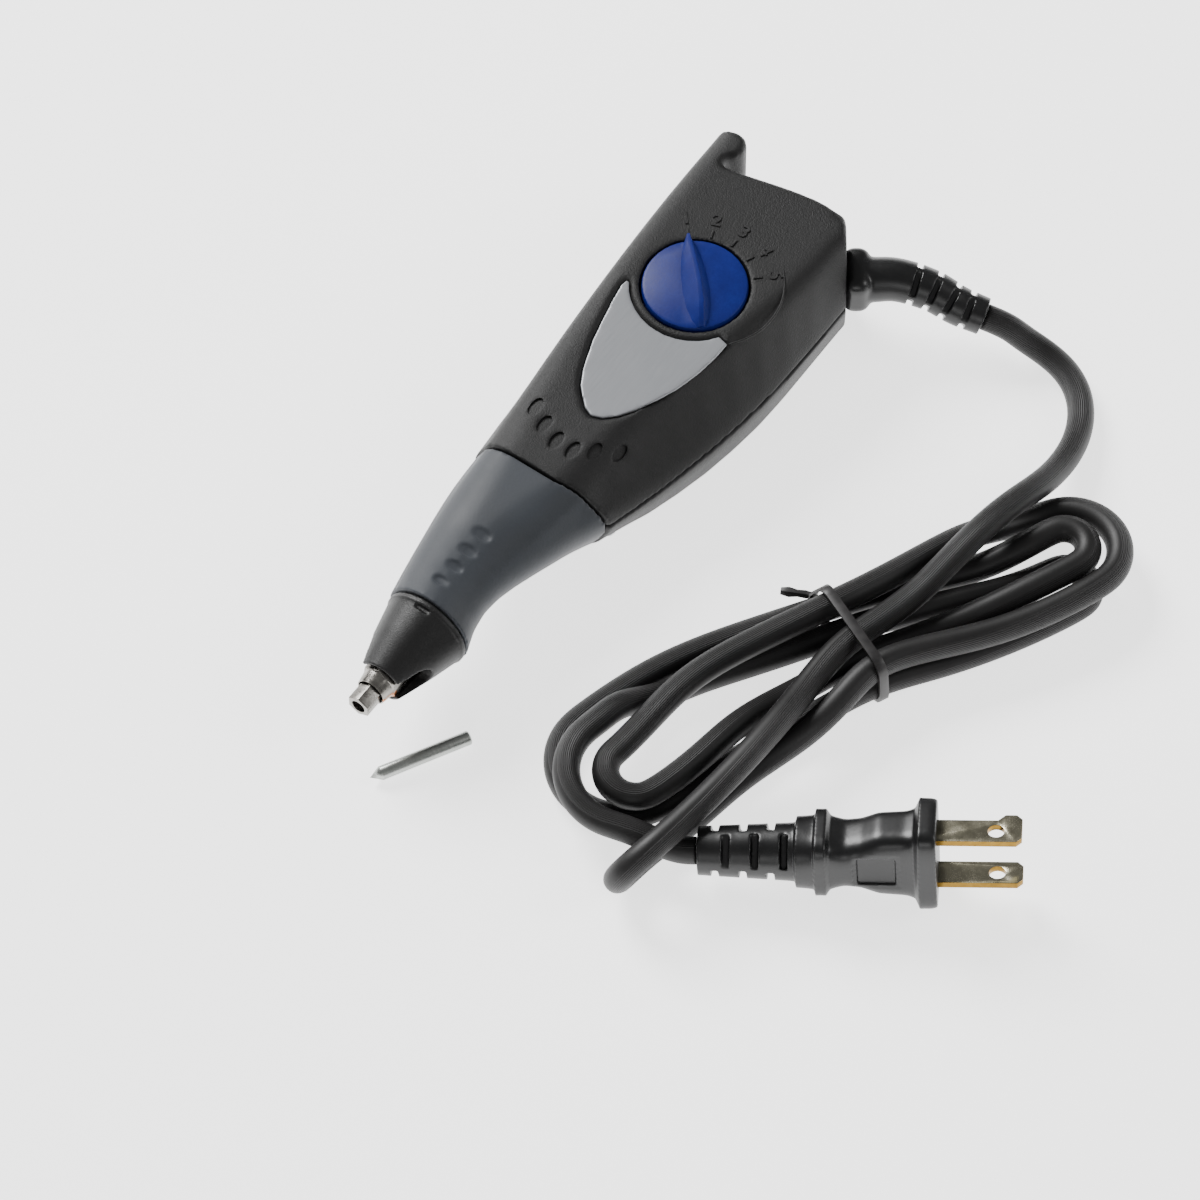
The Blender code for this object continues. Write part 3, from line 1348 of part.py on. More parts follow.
def armature(axis):
    """The rocking lever on its knuckle, with the iron face that the coil pulls."""
    low = PIVOT_Y - LEVER_THICKNESS / 2
    high = PIVOT_Y + LEVER_THICKNESS / 2
    lever = box(
        "armature_lever",
        (-LEVER_HALF_WIDTH, low, PIVOT_HEIGHT),
        (LEVER_HALF_WIDTH, high, LEVER_TOP),
        coat=STEEL,
        parent=axis,
    )
    half_foot = LEVER_FOOT_THICKNESS / 2
    foot = box(
        "lever_foot",
        (-LEVER_HALF_WIDTH + GAP, PIVOT_Y - LEVER_FOOT, PIVOT_HEIGHT - half_foot),
        (LEVER_HALF_WIDTH - GAP, PIVOT_Y, PIVOT_HEIGHT + half_foot),
        helper=True,
    )
    at = (PIVOT_Y, PIVOT_HEIGHT)
    reach = LEVER_HALF_WIDTH
    knuckle = cylinder("lever_knuckle", KNUCKLE_RADIUS, -reach, reach, at, axis="X", helper=True)
    bore = cylinder(
        "lever_bore", PIVOT_PIN_RADIUS + GAP, -reach - OVERRUN, reach + OVERRUN, at, axis="X", helper=True
    )
    unite(lever, foot, knuckle)
    subtract(lever, bore)
    box(
        "armature_iron",
        (-LEVER_HALF_WIDTH, high + GAP, CORE_LIFT + ARMATURE_DROP),
        (LEVER_HALF_WIDTH, high + GAP + ARMATURE_THICKNESS, CORE_LIFT + CORE_HEIGHT),
        coat=IRON,
        parent=axis,
    )
    half = PIVOT_PIN_LENGTH / 2
    cylinder("pivot_pin", PIVOT_PIN_RADIUS, -half, half, at, axis="X", sides=SIDES_SMALL, coat=STEEL)


def return_spring():
    """A coil spring between the lever's foot and a post of the upper shell, and the bumper beside it."""
    foot_top = PIVOT_HEIGHT + LEVER_FOOT_THICKNESS / 2
    low = foot_top + GAP + SPRING_WIRE / 2
    high = PARTING_HEIGHT - GAP - SPRING_WIRE / 2
    count = 10 * SPRING_TURNS
    path = []
    for i in range(count + 1):
        angle = math.tau * i / 10
        x = ARM_OFFSET + SPRING_RADIUS * math.cos(angle)
        y = -ARM_STATION + SPRING_RADIUS * math.sin(angle)
        path.append((x, y, low + (high - low) * i / count))
    tube("return_spring", path, SPRING_WIRE / 2, 1, coat=STEEL)
    floor = HOUSING_WALL + GAP
    top = PIVOT_HEIGHT - LEVER_FOOT_THICKNESS / 2 - GAP
    cylinder("rubber_bumper", BUMPER_RADIUS, floor, top, (-ARM_OFFSET, -ARM_STATION), coat=SOFT_RUBBER)


# Height of the spindle's domed tail, as a share of its radius.
DOME_SHARE = 0.4


def spindle(axis):
    """The shaft that the armature strikes. Its nose carries the collet and the nut."""
    tail = -(PIVOT_Y - LEVER_THICKNESS / 2 - SPINDLE_TAIL_GAP)
    nose = -GRIP_FRONT + NOSE_START
    front = nose + SPINDLE_NOSE_LENGTH
    dome = SPINDLE_RADIUS * DOME_SHARE
    profile = [
        (0, front - SPINDLE_BORE_DEPTH),
        (SPINDLE_BORE, front - SPINDLE_BORE_DEPTH),
        (SPINDLE_BORE, front),
        (SPINDLE_NOSE_RADIUS, front),
        (SPINDLE_NOSE_RADIUS, nose),
        (SPINDLE_RADIUS, nose),
        (SPINDLE_RADIUS, tail + dome),
        (SPINDLE_RADIUS * (1 - EDGE_BULGE_SHARE), tail + dome * EDGE_BULGE_SHARE),
        (0, tail),
    ]
    turned_forward("spindle", profile, sides=SIDES_MEDIUM, coat=STEEL, parent=axis)


def front_bushing():
    front = -NECK_FRONT + GAP + BUSHING_FLANGE
    bore = SPINDLE_RADIUS + GAP
    profile = [
        (FRONT_BUSHING_FLANGE, front),
        (FRONT_BUSHING_FLANGE, front - BUSHING_FLANGE),
        (FRONT_BUSHING_RADIUS, front - BUSHING_FLANGE),
        (FRONT_BUSHING_RADIUS, front - BUSHING_FLANGE - FRONT_BUSHING_LENGTH),
        (bore, front - BUSHING_FLANGE - FRONT_BUSHING_LENGTH),
        (bore, front),
    ]
    turned_forward("front_bushing", profile, closed=True, sides=SIDES_MEDIUM, coat=BRONZE)


def rear_bushing():
    half = REAR_BUSHING_RIB / 2 + GAP
    front = -REAR_BUSHING_Y + half + BUSHING_FLANGE
    rear = front - BUSHING_FLANGE - REAR_BUSHING_LENGTH
    bore = SPINDLE_RADIUS + GAP
    profile = [
        (REAR_BUSHING_RADIUS + BUSHING_FLANGE, front),
        (REAR_BUSHING_RADIUS + BUSHING_FLANGE, front - BUSHING_FLANGE),
        (REAR_BUSHING_RADIUS, front - BUSHING_FLANGE),
        (REAR_BUSHING_RADIUS, rear),
        (bore, rear),
        (bore, front),
    ]
    turned_forward("rear_bushing", profile, closed=True, sides=SIDES_MEDIUM, coat=BRONZE)


def hexagon(name, flats, low, high, **kinds):
    """A six-sided prism on the spindle's axis, between two distances forward."""
    shape = bmesh.new()
    bmesh.ops.create_cone(
        shape,
        cap_ends=True,
        segments=6,
        radius1=flats / math.sqrt(3),
        radius2=flats / math.sqrt(3),
        depth=high - low,
        matrix=Matrix.Translation((0, 0, (low + high) / 2)),
    )
    obj = place(from_bmesh(name, shape), **kinds)
    obj.rotation_euler = (math.pi / 2, 0, 0)
    obj.location = (0, 0, SPINDLE_HEIGHT)
    return obj


def collet_nut(axis):
    rear = -GRIP_FRONT + NOSE_START
    corner = NUT_FLATS / math.sqrt(3)
    hexagon_front = rear + NUT_LENGTH
    front = hexagon_front + NUT_CONE_LENGTH
    collet_corner = COLLET_FLATS / math.sqrt(3)
    shoulder = rear + SPINDLE_NOSE_LENGTH + GAP
    profile = [
        (NUT_FRONT_RADIUS, front),
        (NUT_FLATS / 2, hexagon_front),
        (corner, hexagon_front - NUT_CHAMFER),
        (corner, rear + NUT_CHAMFER),
        (corner - NUT_CHAMFER, rear),
        (SPINDLE_NOSE_RADIUS + GAP, rear),
        (SPINDLE_NOSE_RADIUS + GAP, shoulder),
        (collet_corner + GAP, shoulder),
        (collet_corner + GAP, front),
    ]
    nut = turned_forward("collet_nut", profile, closed=True, sides=SIDES_NUT, coat=NUT_STEEL, parent=axis)
    flats = hexagon("nut_flats", NUT_FLATS, rear - OVERRUN, front + OVERRUN, helper=True)
    boolean(nut, flats, "INTERSECT")


def collet(axis):
    rear = -GRIP_FRONT + NOSE_START + SPINDLE_NOSE_LENGTH + GAP
    front = rear + COLLET_LENGTH
    sleeve = hexagon("collet", COLLET_FLATS, rear, front, coat=NUT_STEEL, parent=axis)
    bore = cylinder(
        "collet_bore",
        COLLET_BORE,
        -front - OVERRUN,
        -rear + OVERRUN,
        (0, SPINDLE_HEIGHT),
        axis="Y",
        sides=SIDES_BORE,
        helper=True,
    )
    subtract(sleeve, bore)


def engraving_point():
    """The loose steel point, lying in front of the nose."""
    profile = [
        (0, POINT_LENGTH),
        (POINT_RADIUS - GAP, POINT_LENGTH),
        (POINT_RADIUS, POINT_LENGTH - GAP),
        (POINT_RADIUS, POINT_CONE),
        (0, 0),
    ]
    obj = turned("engraving_point", profile, sides=SIDES_BORE, coat=STEEL)
    obj.rotation_euler = (0, math.pi / 2, POINT_TURN)
    obj.location = (*POINT_TIP, POINT_RADIUS)


# The sleeve's bend: its place along the sleeve, how far it has turned there, and where it is straight.
BEND_PLACE_SHARE = 0.4
BEND_WAY_SHARE = 0.75
STRAIGHT_FROM_SHARE = 0.7
# Length of a slot across the sleeve, as a share of the neck's width, and the room before the first slot
# and round all of them, as shares of the step between two slots.
SLOT_LENGTH_SHARE = 0.62
SLOT_START_SHARE = 0.8
SLOT_MARGIN_SHARE = 0.4


def relief_path():
    """The strain relief's bent sleeve: straight out of the neck, then down and forward."""
    start = facet_point(RELIEF_FLANGE, 0)
    neck = facet_point(RELIEF_FLANGE + RELIEF_NECK, 0)
    way = Vector(RELIEF_RUNS).normalized()
    end = neck + way * RELIEF_SLEEVE
    near_end = neck + way * RELIEF_SLEEVE * STRAIGHT_FROM_SHARE
    turning = FACET_WAY.to_3d().lerp(way, BEND_WAY_SHARE).normalized()
    middle = neck + turning * RELIEF_SLEEVE * BEND_PLACE_SHARE
    return smooth_path([start, neck, middle, near_end, end], 3)


def strain_relief():
    """Moulded flange, neck and slotted sleeve, one body, with a tail through the housing's port."""
    half_width, half_height = RELIEF_FLANGE_WIDTH / 2, RELIEF_FLANGE_HEIGHT / 2
    flange = box(
        "strain_relief",
        (-half_height, -half_width, GAP),
        (half_height, half_width, RELIEF_FLANGE),
        coat=BLACK_PLASTIC,
    )
    rounded(flange, RELIEF_FLANGE_ROUND)
    along_facet(flange)
    path = relief_path()
    taper = stretch(1, RELIEF_END_RADIUS / RELIEF_NECK_RADIUS, len(path))
    sleeve = as_mesh(tube("relief_sleeve", path, RELIEF_NECK_RADIUS, 4, taper, helper=True))
    tail = along_facet(
        cylinder(
            "relief_tail",
            RELIEF_TAIL_RADIUS,
            -RELIEF_TAIL,
            RELIEF_FLANGE / 2,
            sides=SIDES_MEDIUM,
            helper=True,
        )
    )
    unite(flange, sleeve, tail)
    start, count = len(path) // 3, 2 * RELIEF_SLOTS
    size = (RELIEF_SLOT, 2 * RELIEF_NECK_RADIUS * SLOT_LENGTH_SHARE, 2 * RELIEF_SLOT_DEPTH, 1)
    for index in range(count):
        along = (index + SLOT_START_SHARE) / (count + SLOT_MARGIN_SHARE)
        at = start + along * (len(path) - 1 - start)
        low = int(at)
        high = min(low + 1, len(path) - 1)
        middle = Vector(path[low]).lerp(Vector(path[high]), at - low)
        way = (Vector(path[high]) - Vector(path[max(low - 1, 0)])).normalized()
        across = way.cross(Vector((0, 0, 1))).normalized()
        up = across.cross(way)
        sides = (across, -across) if index % 2 else (up, -up)
        for number, side in enumerate(sides):
            shape = bmesh.new()
            bmesh.ops.create_cube(shape, size=1, matrix=Matrix.Diagonal(size))
            slot = place(from_bmesh(f"relief_slot_{index}_{number}", shape), helper=True)
            frame = Matrix((way, side.cross(way), side)).transposed().to_4x4()
            radius = RELIEF_NECK_RADIUS * (taper[low] + taper[high]) / 2
            frame.translation = middle + side * radius
            slot.matrix_world = frame
            subtract(flange, slot)


def cord_clamp():
    """A saddle over the strain relief's tail, screwed to two posts."""
    inner, outer = -CLAMP_INWARD - CLAMP_WIDTH / 2, -CLAMP_INWARD + CLAMP_WIDTH / 2
    bore = RELIEF_TAIL_RADIUS + GAP
    leg = bore + CLAMP_LEG
    base = PARTING_HEIGHT - CLAMP_BASE
    saddle = along_facet(box("cord_clamp", (-leg, -leg, inner), (base, leg, outer), coat=STEEL))
    ears = box(
        "clamp_ears",
        (base - CLAMP_THICKNESS, -CLAMP_HALF_SPAN, inner),
        (base, CLAMP_HALF_SPAN, outer),
        helper=True,
    )
    groove = cylinder(
        "clamp_groove", bore, inner - OVERRUN, outer + OVERRUN, sides=SIDES_MEDIUM, helper=True
    )
    mouth = box(
        "clamp_mouth",
        (0, -bore, inner - OVERRUN),
        (base + OVERRUN, bore, outer + OVERRUN),
        helper=True,
    )
    for piece in (ears, groove, mouth):
        along_facet(piece)
    unite(saddle, ears)
    subtract(saddle, groove, mouth)
    seat = CLAMP_BASE + CLAMP_THICKNESS
    for label, at in zip(("left", "right"), CLAMP_SCREW_PLACES):
        unite(saddle, cylinder(f"clamp_ear_{label}", CLAMP_EAR, CLAMP_BASE, seat, tuple(at), helper=True))
        hole = cylinder(
            f"clamp_hole_{label}",
            CLAMP_SCREW_RADIUS + GAP,
            CLAMP_BASE - OVERRUN,
            seat + OVERRUN,
            tuple(at),
            helper=True,
        )
        subtract(saddle, hole)
        screw(
            f"clamp_screw_{label}",
            CLAMP_SCREW_RADIUS,
            CLAMP_SCREW_HEAD_RADIUS,
            CLAMP_SCREW_HEAD,
            CLAMP_SCREW_LENGTH - GAP,
            tuple(at),
            seat + GAP,
            True,
        )


def lead_wires():
    """Two insulated wires from the cord's inner end, over the core, to the coil's rear flange."""
    inward = RELIEF_TAIL + WIRE_RADIUS + WIRE_CLEARANCE
    over = CORE_LIFT + CORE_HEIGHT + SCREW_HEAD + 2 * WIRE_RADIUS + WIRE_CLEARANCE
    flange_y = CORE_FACE + CORE_LEG + GAP
    for label, lane in (("line", -1), ("neutral", 1)):
        foot = facet_point(-inward, lane * WIRE_SPACING / 2)
        level = over + (lane + 1) * 2 * WIRE_RADIUS
        x = CORE_CENTRE_LEG / 2 - lane * 2 * WIRE_RADIUS
        points = [
            foot - Vector((0, 0, WIRE_RADIUS)),
            foot + Vector((0, 0, WINDING_DEPTH)),
            Vector((foot.x - GAP, foot.y, level - 2 * WIRE_RADIUS)),
            Vector((foot.x - WINDING_DEPTH, CORE_BACK + (lane - 1) * 2 * WIRE_RADIUS, level)),
            Vector((x + WINDING_DEPTH, CORE_BACK - CORE_YOKE / 3 + (lane - 1) * 2 * WIRE_RADIUS, level)),
            Vector((x, CORE_SCREW_Y, level - WIRE_RADIUS)),
            Vector((x, flange_y, level - 2 * WIRE_RADIUS)),
        ]
        tube(f"lead_wire_{label}", smooth_path(points, 3), WIRE_RADIUS, 1, coat=WIRE_WHITE)


# Route of the cord from the strain relief to the hank, in millimetres.
LEAD_ROUTE = (
    (57.0, 44.5, 6.2),
    (62.0, 45.6, 3.8),
    (67.6, 45.0, 3.1),
    (73.0, 42.4, 3.1),
    (77.4, 38.0, 3.2),
    (80.4, 32.4, 3.6),
    (82.2, 26.0, 5.0),
    (83.1, 19.0, 7.4),
)
# Layers of the hank, counted in cord diameters from the lowest: a place's third number.
# Each run gives its places along the hank and across it in millimetres, from its waist.
OVER_RUN = (
    (54.5, -12.0, 1.20),
    (47.0, -9.6, 1.68),
    (38.0, -6.8, 1.98),
    (28.0, -3.9, 1.83),
    (18.0, -1.6, 1.35),
    (8.0, 0.0, 1.15),
    (0.0, 0.6, 1.00),
    (-8.0, 3.0, 1.15),
    (-17.0, 7.6, 1.41),
    (-26.0, 12.6, 1.86),
    (-36.0, 17.0, 2.00),
    (-48.0, 21.3, 2.00),
    (-60.0, 24.9, 2.00),
    (-66.5, 26.5, 1.98),
)
BACK_RUN = (
    (-60.0, 19.8, 0.00),
    (-54.0, 19.2, 0.08),
    (-48.0, 18.4, 0.32),
    (-42.0, 17.6, 0.62),
    (-36.0, 17.0, 0.86),
    (-26.0, 16.0, 0.93),
    (-18.0, 14.4, 0.88),
    (-9.0, 12.0, 1.00),
    (0.0, 8.8, 1.00),
    (12.0, 10.4, 1.00),
    (26.0, 14.2, 1.00),
    (40.0, 15.8, 1.00),
)
OUTER_RUN = (
    (45.0, -9.3, 0.44),
    (39.0, -9.7, 0.77),
    (33.0, -9.9, 1.00),
    (22.0, -9.6, 1.00),
    (10.0, -9.0, 1.00),
    (0.0, -8.8, 1.00),
    (-14.0, -9.8, 1.00),
    (-30.0, -9.9, 1.00),
    (-40.0, -7.8, 1.00),
    (-48.0, -4.8, 1.00),
)
INNER_RUN = (
    (-44.0, 9.4, 1.00),
    (-33.0, 5.8, 0.92),
    (-22.0, 3.5, 0.41),
    (-12.0, 2.5, 0.05),
    (0.0, 2.1, 0.00),
    (14.0, 4.4, 0.14),
    (28.0, 7.6, 0.74),
    (40.0, 8.8, 1.00),
)
LOW_RUN = (
    (46.0, -1.9, 0.77),
    (40.0, -3.1, 0.38),
    (34.0, -4.7, 0.06),
    (26.0, -7.2, 0.00),
    (14.0, -10.3, 0.00),
    (0.0, -12.3, 0.00),
    (-14.0, -15.4, 0.00),
    (-28.0, -17.6, 0.00),
    (-42.0, -18.0, 0.00),
)
RETURN_RUN = (
    (-46.0, 11.4, 0.00),
    (-30.0, 10.0, 0.00),
    (-14.0, 9.4, 0.00),
    (0.0, 9.4, 0.00),
    (14.0, 12.0, 0.00),
    (28.0, 14.0, 0.00),
    (40.0, 14.8, 0.00),
)
LAST_RUN = (
    (40.0, 3.6, 0.00),
    (30.0, 1.0, 0.00),
    (18.0, -2.2, 0.00),
    (8.0, -4.2, 0.00),
    (0.0, -5.1, 0.00),
    (-15.0, -8.0, 0.00),
    (-30.0, -10.8, 0.00),
    (-36.0, -11.2, 0.03),
    (-42.0, -11.4, 0.18),
    (-47.0, -11.6, 0.50),
    (-52.0, -11.4, 0.90),
)
# Loop ends: place along and across, radius, layer in and out, the side they turn to, and degrees turned.
LOOP_ENDS = {
    "right_outer": (52.0, 3.6, 12.0, 1.00, 0.29, 1, 180),
    "left_inner": (-57.0, 5.0, 6.6, 1.00, 1.00, -1, 180),
    "right_inner": (51.5, 3.6, 5.3, 1.00, 0.89, 1, 180),
    "left_low": (-56.5, -2.0, 14.0, 0.00, 0.00, -1, 180),
    "right_low": (48.8, 9.4, 5.3, 0.00, 0.00, 1, 180),
    "left_outer": (-57.5, 4.6, 14.4, 1.00, 1.00, -1, 140),
}
LOOP_STEPS = 7
TAIL_STRAIGHT = 0.7
CORD_STEPS = 1
TAIL_START = (-63.6, 20.2, 1.0)
# The tight fold where the cord turns down and back beneath itself: along, across, layer.
FOLD_ROUTE = (
    (-72.0, 27.0, 1.65),
    (-74.2, 26.0, 1.00),
    (-72.6, 24.2, 0.35),
    (-67.5, 21.8, 0.06),
)


def hank_point(along, across, layer):
    """A place in the hank. All strands rise a little at the waist, where the tie passes under them."""
    near = max(0, 1 - abs(along) * MM / WAIST_REACH)
    lift = WAIST_LIFT * near * near * (3 - 2 * near)
    x = HANK_WAIST[0] + MM * (along * math.sin(HANK_TURN) + across * math.cos(HANK_TURN))
    y = HANK_WAIST[1] + MM * (along * math.cos(HANK_TURN) - across * math.sin(HANK_TURN))
    return (x, y, CORD_LIFT + layer * CORD_LAYER + lift)


def loop_end(name):
    """Points round a loop's end. A right end turns from its far side to its near one, a left end back."""
    along, across, radius, first, last, side, degrees = LOOP_ENDS[name]
    points = []
    for step in range(LOOP_STEPS + 1):
        share = step / LOOP_STEPS
        angle = math.radians(degrees) * share
        layer = first + (last - first) * share
        out = side * radius
        points.append((along + out * math.sin(angle), across + out * math.cos(angle), layer))
    return points


def hank_route():
    route = [*OVER_RUN, *FOLD_ROUTE, *BACK_RUN, *loop_end("right_outer"), *OUTER_RUN, *loop_end("left_inner")]
    route += [*INNER_RUN, *loop_end("right_inner"), *LOW_RUN, *loop_end("left_low"), *RETURN_RUN]
    route += [*loop_end("right_low"), *LAST_RUN, *loop_end("left_outer"), TAIL_START]
    return [hank_point(*at) for at in route]


def cord_paths():
    """The lead, the hank and the tail, as three stretches of one smooth curve."""
    relief_end = Vector(relief_path()[-1])
    relief_way = Vector(RELIEF_RUNS).normalized()
    lead = [relief_end, relief_end + relief_way * CORD_DIAMETER]
    lead += [Vector(point) * MM for point in LEAD_ROUTE]
    hank = hank_route()
    plug_way = plug_frame().col[2].xyz
    last = Vector(PLUG_BACK) - plug_way * CORD_DIAMETER * TAIL_STRAIGHT
    whole = [*lead, *hank, last, PLUG_BACK]
    path = [Vector(p) for p in smooth_path(whole, CORD_STEPS)]
    start = len(lead) * CORD_STEPS
    stop = (len(lead) + len(hank) - 1) * CORD_STEPS
    first = (path[start - 1] + path[start]) / 2
    second = (path[stop] + path[stop + 1]) / 2
    return [*path[:start], first], [first, *path[start : stop + 1], second], [second, *path[stop + 1 :]]


def trimmed(path, at_start, at_end):
    """The path with its ends drawn back along themselves."""
    path = [p.copy() for p in path]
    path[0] += (path[1] - path[0]).normalized() * at_start
    path[-1] += (path[-2] - path[-1]).normalized() * at_end
    return path


# Places this many diameters apart along a cord count as different strands.
NEIGHBOUR_SHARE = 2.6


def least_gap(path, diameter):
    """The least room between the strands of a tube."""
    points = np.array(path)
    steps = np.linalg.norm(np.diff(points, axis=0), axis=1)
    along = np.concatenate([[0], np.cumsum(steps)])
    starts, ways = points[:-1], np.diff(points, axis=0)
    least = math.inf
    for i in range(len(points)):
        shares = np.clip(((points[i] - starts) * ways).sum(axis=1) / (ways**2).sum(axis=1), 0, 1)
        near = starts + ways * shares[:, None]
        apart = np.linalg.norm(points[i] - near, axis=1)
        far = np.abs(along[:-1] + steps * shares - along[i]) > NEIGHBOUR_SHARE * diameter
        least = min(least, apart[far].min(initial=math.inf))
    return least - diameter


def cords():
    lead, hank, tail = cord_paths()
    half = GAP / 2
    tube("cord_lead", trimmed(lead, GAP, half), CORD_DIAMETER / 2, 2, coat=CORD_VINYL)
    tube("cord_hank", trimmed(hank, half, half), CORD_DIAMETER / 2, 1, coat=CORD_VINYL)
    tube("cord_tail", trimmed(tail, half, GAP), CORD_DIAMETER / 2, 2, coat=CORD_VINYL)
    print(f"cord_hank: least gap to itself {least_gap(hank, CORD_DIAMETER) / MM:.2f} mm")
    whole = np.array([*lead, *hank[1:], *tail[1:]])
    print(f"cord: length {np.linalg.norm(np.diff(whole, axis=0), axis=1).sum() / MM:.0f} mm")


def waist_lanes():
    """Where the strands cross the waist: across and layer of the four outermost."""
    strands = (LOW_RUN, RETURN_RUN, BACK_RUN, OUTER_RUN)
    return [(across, layer) for run in strands for along, across, layer in run if along == 0]


# The tie's twisted end: how far it turns back along the hank, and places along it with their widths.
KNOT_TURN = math.radians(50)
KNOT_PLACE_SHARES = (-0.05, 0.21, 0.475, 0.74, 1.0)
KNOT_WIDTH_SHARES = (0.5, 0.8, 0.7, 1.0, 0.7)


def twist_tie():
    """A flat wire tie round the waist, with its twisted end on the far side."""
    lanes = [(across * MM, CORD_LIFT + layer * CORD_LAYER + WAIST_LIFT) for across, layer in waist_lanes()]
    reach = CORD_DIAMETER / 2 + TIE_ROOM
    centre = Vector((sum(x for x, _ in lanes) / 4, sum(z for _, z in lanes) / 4))
    middle_line = []
    for i, lane in enumerate(lanes):
        here, before, after = Vector(lane), Vector(lanes[i - 1]), Vector(lanes[(i + 1) % 4])
        first = math.atan2(*(here - before).normalized().yx) - math.pi / 2
        last = math.atan2(*(after - here).normalized().yx) - math.pi / 2
        while last < first:
            last += math.tau
        for angle in stretch(first, last, 5):
            middle_line.append(here + Vector((math.cos(angle), math.sin(angle))) * reach)
    along = Vector((math.sin(HANK_TURN), math.cos(HANK_TURN), 0))
    across = Vector((math.cos(HANK_TURN), -math.sin(HANK_TURN), 0))
    waist = Vector((*HANK_WAIST, 0))
    rings = []
    for point in middle_line:
        out = (point - centre).normalized() * TIE_THICKNESS / 2
        ring = []
        for side, way in ((1, 1), (-1, 1), (-1, -1), (1, -1)):
            flat = point + out * way
            edge = waist + along * side * TIE_WIDTH / 2
            ring.append(tuple(edge + across * flat.x + Vector((0, 0, flat.y))))
        rings.append(ring)
    tie = loft("twist_tie", rings, closed=True, coat=SOFT_RUBBER)
    root = Vector((lanes[0][0] - reach, lanes[0][1]))
    foot = waist + across * root.x + Vector((0, 0, root.y))
    way = -across * math.cos(KNOT_TURN) - along * math.sin(KNOT_TURN)
    path = [foot + way * TIE_KNOT * share for share in KNOT_PLACE_SHARES]
    unite(tie, as_mesh(tube("tie_knot", path, TIE_KNOT_RADIUS, 1, KNOT_WIDTH_SHARES, helper=True)))


def plug_frame():
    """The plug's frame: X from blade to blade, Y out of its broad face, Z from the cord to the blades."""
    forward = Vector(
        (
            math.cos(PLUG_TURN) * math.cos(PLUG_RISE),
            math.sin(PLUG_TURN) * math.cos(PLUG_RISE),
            math.sin(PLUG_RISE),
        )
    )
    level = Vector((math.sin(PLUG_TURN), -math.cos(PLUG_TURN), 0))
    up = level.cross(forward)
    spread = up * math.cos(PLUG_LEAN) - level * math.sin(PLUG_LEAN)
    frame = Matrix((spread, forward.cross(spread), forward)).transposed().to_4x4()
    frame.translation = PLUG_BACK
    return frame


# The plug from its cord end: place along, width and thickness as shares of its length, and squareness.
PLUG_SHARES = (
    (0.000, 0.206, 0.206, 2.0),
    (0.407, 0.248, 0.248, 2.0),
    (0.410, 0.283, 0.283, 2.4),
    (0.488, 0.283, 0.283, 2.8),
    (0.491, 0.314, 0.299, 4.0),
    (0.536, 0.314, 0.299, 4.0),
    (0.555, 0.260, 0.262, 4.0),
    (0.613, 0.236, 0.250, 3.4),
    (0.680, 0.268, 0.240, 3.4),
    (0.754, 0.340, 0.234, 4.0),
    (0.870, 0.352, 0.234, 4.5),
    (0.905, 0.372, 0.250, 4.5),
    (0.925, 0.452, 0.304, 5.0),
    (0.985, 0.452, 0.304, 5.0),
    (1.000, 0.435, 0.290, 5.0),
)
PLUG_SIDES = 28
SLEEVE_NOTCH_SHARES = (0.073, 0.191, 0.306)
SLEEVE_SLOT_SHARES = (0.120, 0.242, 0.363)


